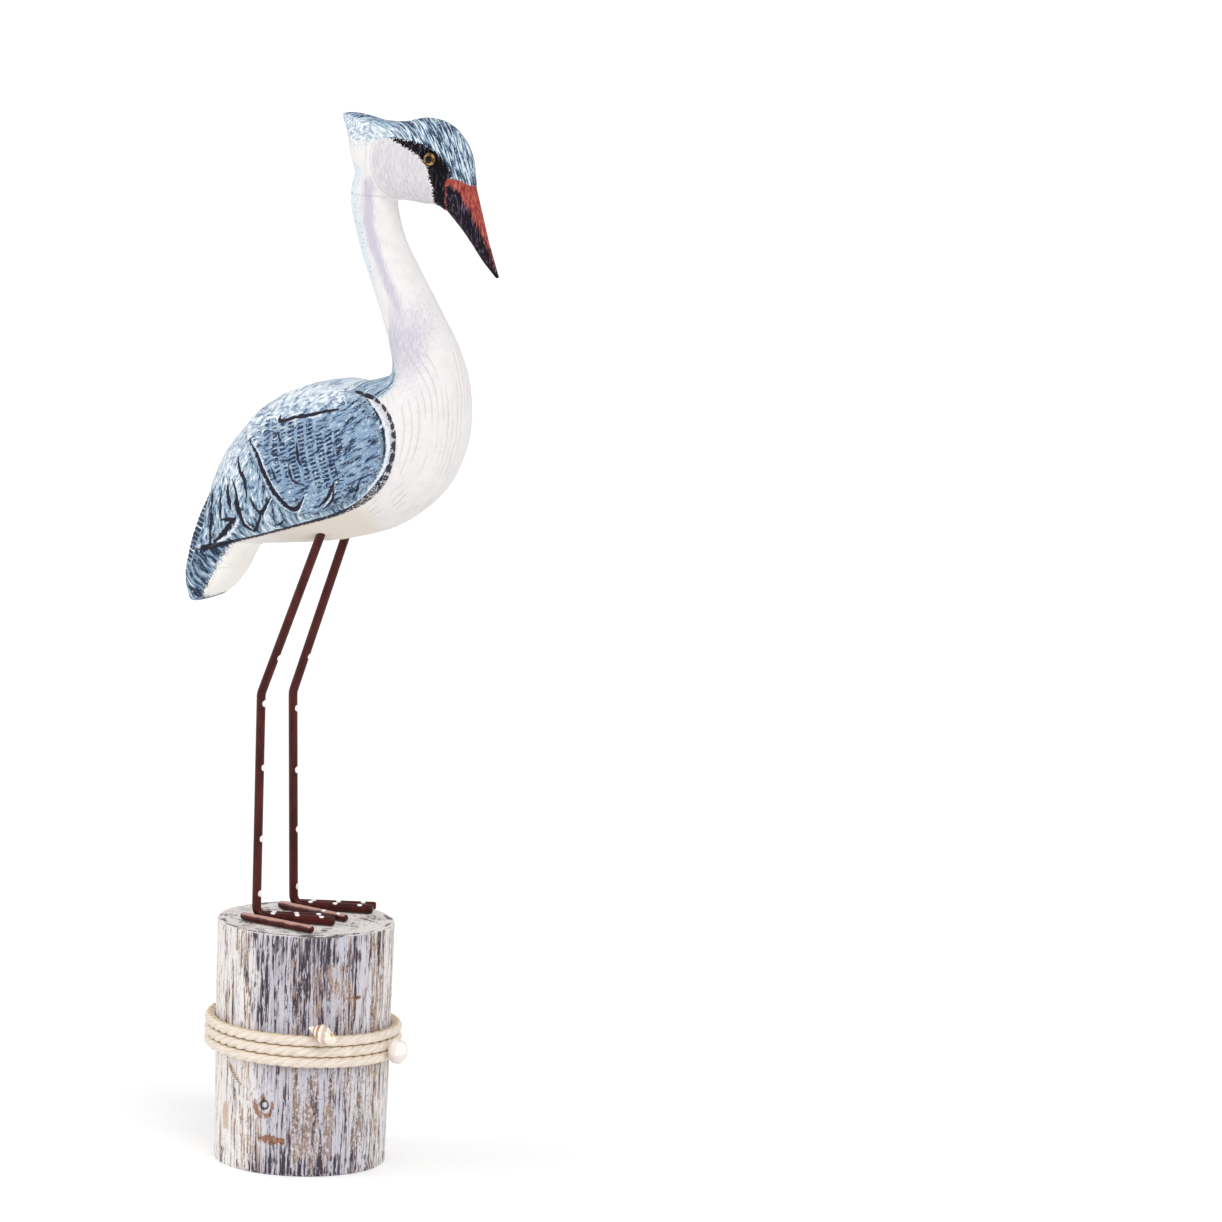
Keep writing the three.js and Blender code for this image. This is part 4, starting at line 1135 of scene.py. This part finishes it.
def make_post(material):
    """The post with its grain, marks and cracks, and all that its paint needs kept at the vertices."""
    post = post_skin(material)
    spots = places_of(post.data) / MM
    x, y, z = spots.T
    compass = np.degrees(np.arctan2(y, x))
    below_top = z - POST["height"]
    on_top = ramp(below_top, -0.9, -0.1) * (np.hypot(x, y) < POST["top"] - 0.3)
    per_degree = math.radians(1) * POST["top"]

    def from_angle(angle):
        """How far round the post each spot is from a compass angle, in mm."""
        return ((compass - angle + 180) % 360 - 180) * per_degree

    # The grain runs up the post and bends round the knot
    knot_x, knot_z = from_angle(KNOT["angle"]), z - KNOT["height"]
    knot = np.hypot(knot_x, knot_z * 0.9)
    bend = np.sign(knot_x) * 3.2 * bump(knot, 8)
    sway = noise(spots * [1, 1, 0.1], 7, 60) * 1.2
    angle = np.radians(compass) + (sway - bend) / POST["top"]
    grained = np.stack([np.cos(angle) * POST["top"], np.sin(angle) * POST["top"], z / 16], 1)
    broad = noise(grained, 4.5, 61, 2)
    grain = noise(grained, 1.9, 67, 3)
    hairs = noise(grained * [1, 1, 3], 1.0, 69)
    pepper = noise(spots * [1, 1, 0.6], 1.1, 73)
    bare = np.interp(compass, *BARE_ROUND) * np.interp(z, *BARE_HEIGHT)
    dark = bare * np.interp(z, *DARK_HEIGHT)
    brown = 0.18 + 0.5 * bare
    for centre, high, low, width, darkness, brownness in POST_STREAKS:
        off = from_angle(centre) + 0.8 * noise(spots * [0, 0, 1], 6, int(high) + int(centre))
        taper = ramp(z, low - 6, low + 8) * ramp(-z, -high - 2, -high + 1)
        streak = bump(off, 0.75 * width) * taper
        paler = 0.4 * (1 - darkness) * brownness * streak * dark
        dark = dark + (FULL - dark) * darkness * streak - paler
        brown = brown + (FULL - brown) * brownness * streak

    # The knot with its rings, the oval, the patch, the cross and the check
    turned = np.degrees(np.arctan2(knot_z, knot_x))
    ringed = bump(knot - KNOT["ring"] - 1.2 * broad, 1.7) * (1 - ramp(np.abs(turned - 90), 75, 45))
    ringed = np.maximum(ringed, bump(np.hypot(knot_x + 0.5, 0.8 * (knot_z - 3.4)), 2.1))
    ringed = np.maximum(ringed, 0.6 * bump(knot - 8 - 2 * broad, 0.8) * ramp(turned, 10, 60))
    heart = bump(knot - KNOT["eye"] - 0.7, 0.6)
    by_knot = ramp(knot, 2.0, 9.0)
    dark = np.maximum(dark * (0.3 + 0.7 * by_knot), 1.3 * heart)
    oval, patch = (
        1 - np.hypot(from_angle(mark["angle"]) / mark["wide"], (z - mark["height"]) / mark["tall"])
        for mark in (OVAL, PATCH)
    )
    across, over = from_angle(CROSS["angle"]), z - CROSS["height"]
    level = bump(over, CROSS["thick"]) * ramp(CROSS["long"] - np.abs(across), 0, 1.5)
    upright = bump(across - 1, CROSS["thick"] * 0.8) * ramp(CROSS["tall"] - np.abs(over + 2), 0, 3)
    dark = np.maximum(dark, 1.2 * np.maximum(level, upright) * ramp(across, -3, 1))
    marks = np.maximum.reduce([ringed, ramp(patch + 0.4 * pepper, -0.1, 0.3), level, upright])
    marks *= 0.85 + 0.4 * pepper
    unrolled = np.stack([from_angle(CHECK["from"][0]), z], 1)
    aside = (CHECK["to"][0] - CHECK["from"][0]) * per_degree
    line = np.array([[0, CHECK["from"][1]], [aside, CHECK["to"][1]]])
    distance, share, side = line_distance(unrolled, line)
    taper = thin_ended(share, 0.04, 0.7)
    crack = ramp(CHECK["wide"] * taper - distance, -0.3, 0.3)
    # Painted shade along the check's edges, darker on one side where its wall shades it
    crack_edge_shade = bump(distance - 1.2 * taper, 0.4) * np.where(side < 0, 1, 0.7) * ramp(taper, 0.3, 0.7)
    marks *= (1 - on_top) * (1 - crack)

    # Each tone is torn into streaks and specks, thinner where it is weaker
    torn = 0.55 * grain + 0.4 * hairs + 0.3 * pepper
    ticks = noise(grained * [1, 1, 5], 1.6, 79)
    dark += 0.9 * ramp(-z, -11, -4) * ramp(ticks, 0, 0.4)
    grainy = ramp(-np.abs(from_angle(-42)), -26, -18) * ramp(-z, -66, -56) * ramp(z, 4, 12)
    grainy = np.maximum(grainy, bump(from_angle(-64), 7) * ramp(-z, -102, -92) * (z > 66))
    grainy *= (1 - ramp(on_top, 0.1, 0.5)) * ramp(broad + 0.3 * grain, -0.5, 0.1)
    dark = ramp(dark + torn, 0.1, 0.95)
    brown = ramp(brown + 0.7 * broad + 0.35 * grain + 0.2 * pepper, 0.15, 0.85)
    chalk = ramp(0.45 - 0.4 * bare + 0.35 * hairs + 0.25 * pepper - 0.5 * grain, -0.3, 0.7)

    # The sawn end, and the relief of all this
    cracks, top_dark = sawn_end(spots, broad)
    dark = dark * (1 - on_top) + top_dark * on_top
    brown = brown * (1 - on_top) + 0.6 * ramp(noise(spots, 9, 99), 0.2, 0.7) * on_top
    relief = 0.4 * dark + 0.15 * brown - 0.15 * chalk + 0.15 * ramp(grain, -0.2, 0.6) * (1 - on_top)
    relief += CHECK["deep"] * crack + 0.5 * cracks * on_top + 0.5 * heart
    relief += 0.35 * ramp(noise(spots * [1, 1, 0.4], 14, 83, 2), -0.6, 0.8) * (1 - on_top)
    relief[z < 0.6] = 0
    put_places(post.data, (spots - normals_of(post.data) * relief[:, None]) * MM)
    save_vector(post.data, "weathering", [dark, brown, on_top])
    save_vector(post.data, "wear", [chalk, marks, bare])
    tanned = np.maximum(ramp(oval, -0.05, 0.15), crack)
    save_vector(post.data, "texture", [grainy, np.maximum(heart, crack_edge_shade), tanned])
    return post


def whitewash():
    """Whitewash rubbed back on weathered softwood: chalky white and lilac-grey over brown grain, with
    dark streaks where the wood is bare. The grain is drawn about twice as coarse as it is, to show."""
    plain = {"Roughness": 0.85, "Specular_IOR_Level": 0.2}
    material, tree, shader = new_material("rubbed_whitewash_on_softwood", **plain)
    where = add(tree, "TexCoord", {}, "Object")
    dark, brown, on_top, chalk, marks, bare = kept_values(tree, "weathering", "wear")
    grainy, heart, tanned = kept_values(tree, "texture")
    lines, scratches, fine, grains, cloudy = noises(
        tree, where, (1.1, 20), (0.9, 8), (0.8, 1.4), (1.1, 1.6), (12, 2)
    )
    chalky = coat(tree, "#E6E1DE", "#C4C2CC", bare, 0.3, 0.75)
    tan = coat(tree, "#B0947C", "#7D6251", fine, 0.56, 0.42)
    rust = coat(tree, "#966843", "#4A3129", fine, 0.52, 0.40)
    sawn = coats(
        tree, "#D6CFCD",
        ("#EFEBE9", fine, 0.40, 0.60),
        ("#A98F7C", brown, 0.3, 0.8, 0.5, fine, 2.0),
        ("#574F54", dark, 0.25, 0.75, 0.92, fine, 2.0),
    )
    paint = coats(
        tree, "#DCD6D1",
        ("#CBCAD4", cloudy, 0.48, 0.62, 0.6),
        ("#B3B0BD", bare, 0.2, 0.9, 0.85),
        ("#A09AA8", lines, 0.54, 0.44, 0.6),
        (chalky, chalk, 0.45, 0.85, 0.85, lines, 5.0),
        (tan, brown, 0.42, 0.90, 0.82, lines, -4.0),
        ("#857A82", dark, 0.28, 0.70, 0.8, lines, -4.5),
        ("#352D38", dark, 0.60, 1.0, 0.9, lines, -5.5),
        ("#463C42", fine, 0.40, 0.33, 0.6),
        (chalky, chalk, 0.70, 1.0, 0.85, scratches, 5.0),
        ("#86705F", grainy, 1.0, 1.5, 0.7, grains, 4.5),
        ("#D9D5DA", grainy, 1.1, 1.6, 0.6, grains, -4.5),
        ("#C2A78F", tanned, 0.3, 0.7, 0.75, fine, 0.6),
        (rust, marks, 0.35, 0.7, 0.9, fine, 1.2),
        # the knot's dark heart, and painted shade along the check's edges
        ("#3B2C2C", heart, 0.4, 0.8, 0.9),
        (sawn, on_top, 0.3, 0.8),
    )
    ridges = add(tree, "Math", {0: scratches, 1: fine}, operation="ADD")
    finish_material(tree, shader, paint, ridges, 0.3)
    return material


finish_piece(make_post(whitewash()), "post")


# The rope: three strands laid round one another, wound three times round the post

ROPE = {"radius": 2.5, "pitch": 5.05, "turns": 3, "start_height": 67.4, "start_angle": 116, "wound": 43.25}
STRAND = {"count": 3, "radius": 1.64, "offset": 1.0, "lay": 17.0, "step": 0.8}
ROPE_LENGTH = ROPE["turns"] * math.tau * ROPE["wound"]


def make_rope(material):
    points = int(ROPE_LENGTH / STRAND["step"])
    turn = np.linspace(0, ROPE["turns"], points)
    compass = np.radians(ROPE["start_angle"]) + turn * 2 * np.pi
    outward = np.stack([np.cos(compass), np.sin(compass), 0 * compass], 1)
    middle = outward * ROPE["wound"]
    middle[:, 2] = ROPE["start_height"] - ROPE["pitch"] * turn
    upward = np.array([0.0, 0, 1])
    bm = new_bmesh()
    for strand in range(STRAND["count"]):
        lay = turn * ROPE["wound"] * math.tau / STRAND["lay"] * 2 * np.pi
        lay += strand * math.tau / STRAND["count"]
        path = middle + STRAND["offset"] * (np.cos(lay)[:, None] * outward + np.sin(lay)[:, None] * upward)
        bent_grid(bm, tube_shape(path, STRAND["radius"]), 12, points - 1)
    close_up(bm)
    rope = to_piece("laid_rope", bm, material)
    spots = places_of(rope.data) / MM
    out = np.hypot(spots[:, 0], spots[:, 1]) - ROPE["wound"]
    angle = (np.degrees(np.arctan2(spots[:, 1], spots[:, 0])) - ROPE["start_angle"]) % 360
    over_start = spots[:, 2] - ROPE["start_height"]
    drops = [over_start + ROPE["pitch"] * (n + angle / 360) for n in range(ROPE["turns"])]
    between = np.minimum.reduce(np.abs(drops))
    from_middle = np.hypot(out, between)
    save_vector(rope.data, "lay", [from_middle, between, from_middle * 0])
    return rope


def cotton():
    """Undyed cotton rope: matt and warm white, with painted shade, tan-brown, in the hollows between its
    strands and between its turns, and fibres along each strand, drawn as coarse as they need to show."""
    material, tree, shader = new_material("laid_cotton_rope", Roughness=0.95, Specular_IOR_Level=0.15)
    along = add(tree, "UVMap", {}, "UV")
    round_it = math.tau * STRAND["radius"]
    placed = add(tree, "Mapping", {"Vector": along, "Scale": (round_it / 0.5, ROPE_LENGTH / 5, 1)})
    fibres = add(tree, "TexNoise", {"Vector": placed, "Scale": 1.0, "Detail": 3.0, "Roughness": 0.6})
    from_middle, between, _ = kept_values(tree, "lay")
    paint = coats(
        tree, "#DCCEBF",
        ("#EAE0D4", fibres, 0.4, 0.62),
        ("#C9B69F", fibres, 0.42, 0.3, 0.6),
        # painted shade: tan-brown in the hollows between the strands, and between the turns
        ("#BBA284", from_middle, 2.1, 1.65, 0.8, fibres, 0.2),
        ("#C7AC80", between, 2.0, 2.45, 0.8, fibres, 0.6),
    )
    finish_material(tree, shader, paint, fibres, 0.25)
    return material


finish_piece(make_rope(cotton()), "rope")


# The two sea shells: a tube wound round an axis, growing with every turn, its mouth folded in

SHELLS = {
    "spiral": {
        "angle": 306.6, "reach": 49.7, "height": 70, "tip": (-0.97, -0.05, 0.24), "turns": 5.2,
        "growth": 1.62, "from_tip": (-7.0, 2.2), "mouth": 200, "mouth_radius": 3.75, "wide": 1.35,
        "tall": 1.25,
        "colours": ("#EFDDC6", "#FAF2E6"), "bands": ((0.9, 0.035, "#A8653F"), (0.04, 0.04, "#C9ACA6")),
    },
    "round": {
        "angle": -4.6, "reach": 51.7, "height": 57, "tip": (0.12, -0.25, 0.96), "turns": 4.5,
        "growth": 1.7, "from_tip": (-3.9, 0.1), "mouth": 180, "mouth_radius": 4.0, "wide": 1.35,
        "tall": 1.6,
        "colours": ("#F3E5DC", "#FBF4EE"), "bands": ((0.05, 0.12, "#E8DCD6"),),
    },
}
SHELL_ROWS = (312, 8)  # along a shell, and folded in at its mouth


def make_shell(name, shell, material):
    tip = Vector(shell["tip"]).normalized()
    turned = Vector((0, 0, 1)).rotation_difference(tip).to_matrix()
    compass = math.radians(shell["angle"])
    outward = np.array([math.cos(compass), math.sin(compass), 0])
    place = shell["reach"] * outward + [0, 0, shell["height"]]
    rows, folded = SHELL_ROWS

    def shape(around, along):
        row = np.rint(along * (rows + folded)).astype(int)
        grown = np.minimum(row / rows, 1) - np.maximum(row - rows, 0) / rows * 1.2
        swirl = math.radians(shell["mouth"]) + (grown - 1) * shell["turns"] * math.tau
        size = shell["growth"] ** ((grown - 1) * shell["turns"])
        drawn_in = np.where(row > rows, 1 - 0.22 * np.minimum((row - rows) / 2, 1), 1)
        tube = shell["mouth_radius"] * size * drawn_in * (1 + 0.012 * np.sin(row * 1.9)) + 0.05
        angle = around * 2 * np.pi
        first, last = shell["from_tip"]
        depth = first + (last - first) * (size - size.min()) / (1 - size.min())
        from_axis = shell["wide"] * size + tube * np.cos(angle)
        down = depth + tube * shell["tall"] * np.sin(angle)
        local = np.stack([from_axis * np.cos(swirl), -from_axis * np.sin(swirl), -down], 1)
        return local @ np.array(turned).T + place

    bm = new_bmesh()
    bent_grid(bm, shape, 36, rows + folded)
    close_up(bm)
    return to_piece(f"{name}_shell", bm, material)


def shell_lime(name, shell):
    """A sea shell: hard lime with a satin skin, banded along its whorls and lined across by its growth."""
    ground, pale = shell["colours"]
    plain = {"Roughness": 0.34, "Coat_Weight": 0.2, "Coat_Roughness": 0.25}
    material, tree, shader = new_material(f"sea_shell_{name}", **plain)
    uv = add(tree, "UVMap", {}, "UV")
    placed = add(tree, "Mapping", {"Vector": uv, "Scale": (3, 110, 1)})
    growth = add(tree, "TexNoise", {"Vector": placed, "Scale": 1.0, "Detail": 2.0})
    across, along = (add(tree, "SeparateXYZ", {0: uv}, axis) for axis in "XY")
    skin = coat(tree, ground, pale, growth, 0.4, 0.65)
    for place, wide, colour in shell["bands"]:
        off = add(tree, "Math", {0: across, 1: place}, operation="SUBTRACT")
        off = add(tree, "Math", {0: off}, operation="ABSOLUTE")
        skin = coat(tree, skin, colour, off, wide * 1.4, wide * 0.7, 0.9, growth, 0.03)
    skin = coats(tree, skin, (pale, along, 0.62, 0.5, 0.8), ("#F0DFBE", along, 0.965, 0.975))
    finish_material(tree, shader, skin, growth, 0.1)
    return material


for name, shell in SHELLS.items():
    finish_piece(make_shell(name, shell, shell_lime(name, shell)), f"shell_{name}")


# Floor, light and background

STAGE = {"half_floor": 30, "floor": "#E9E9E9", "glow": 0.25, "daylight": 0.66}
LAMPS = [
    # name, azimuth from the front towards +X, height, both in degrees, strength, spread
    ("key", 48, 38, 1.25, 40),
    ("fill", -55, 30, 0.6, 50),
    ("spark", -58, 16, 0.35, 10),
]


def make_stage():
    bm = bmesh.new()
    bmesh.ops.create_grid(bm, x_segments=1, y_segments=1, size=STAGE["half_floor"])
    floor = to_piece("floor", bm)
    material, _, shader = new_material("pale_floor", Roughness=0.9, Specular_IOR_Level=0.1)
    shader.inputs["Base Color"].default_value = srgb(STAGE["floor"])
    shader.inputs["Emission Color"].default_value = (1, 1, 1, 1)
    shader.inputs["Emission Strength"].default_value = STAGE["glow"]
    floor.data.materials.append(material)
    world = bpy.data.worlds.new("studio")
    bpy.context.scene.world = world
    world.use_nodes = True
    light = world.node_tree.nodes["Background"]
    light.inputs["Color"].default_value = (1, 1, 1, 1)
    light.inputs["Strength"].default_value = STAGE["daylight"]
    for name, azimuth, height, strength, spread in LAMPS:
        sun = bpy.data.lights.new(name, "SUN")
        sun.energy = strength
        sun.angle = math.radians(spread)
        lamp = bpy.data.objects.new(name, sun)
        bpy.context.scene.collection.objects.link(lamp)
        a, e = math.radians(azimuth), math.radians(height)
        towards = Vector((math.sin(a) * math.cos(e), -math.cos(a) * math.cos(e), math.sin(e)))
        lamp.rotation_mode = "QUATERNION"
        lamp.rotation_quaternion = towards.to_track_quat("Z", "Y")
    bpy.context.scene.view_settings.view_transform = "Standard"


make_stage()
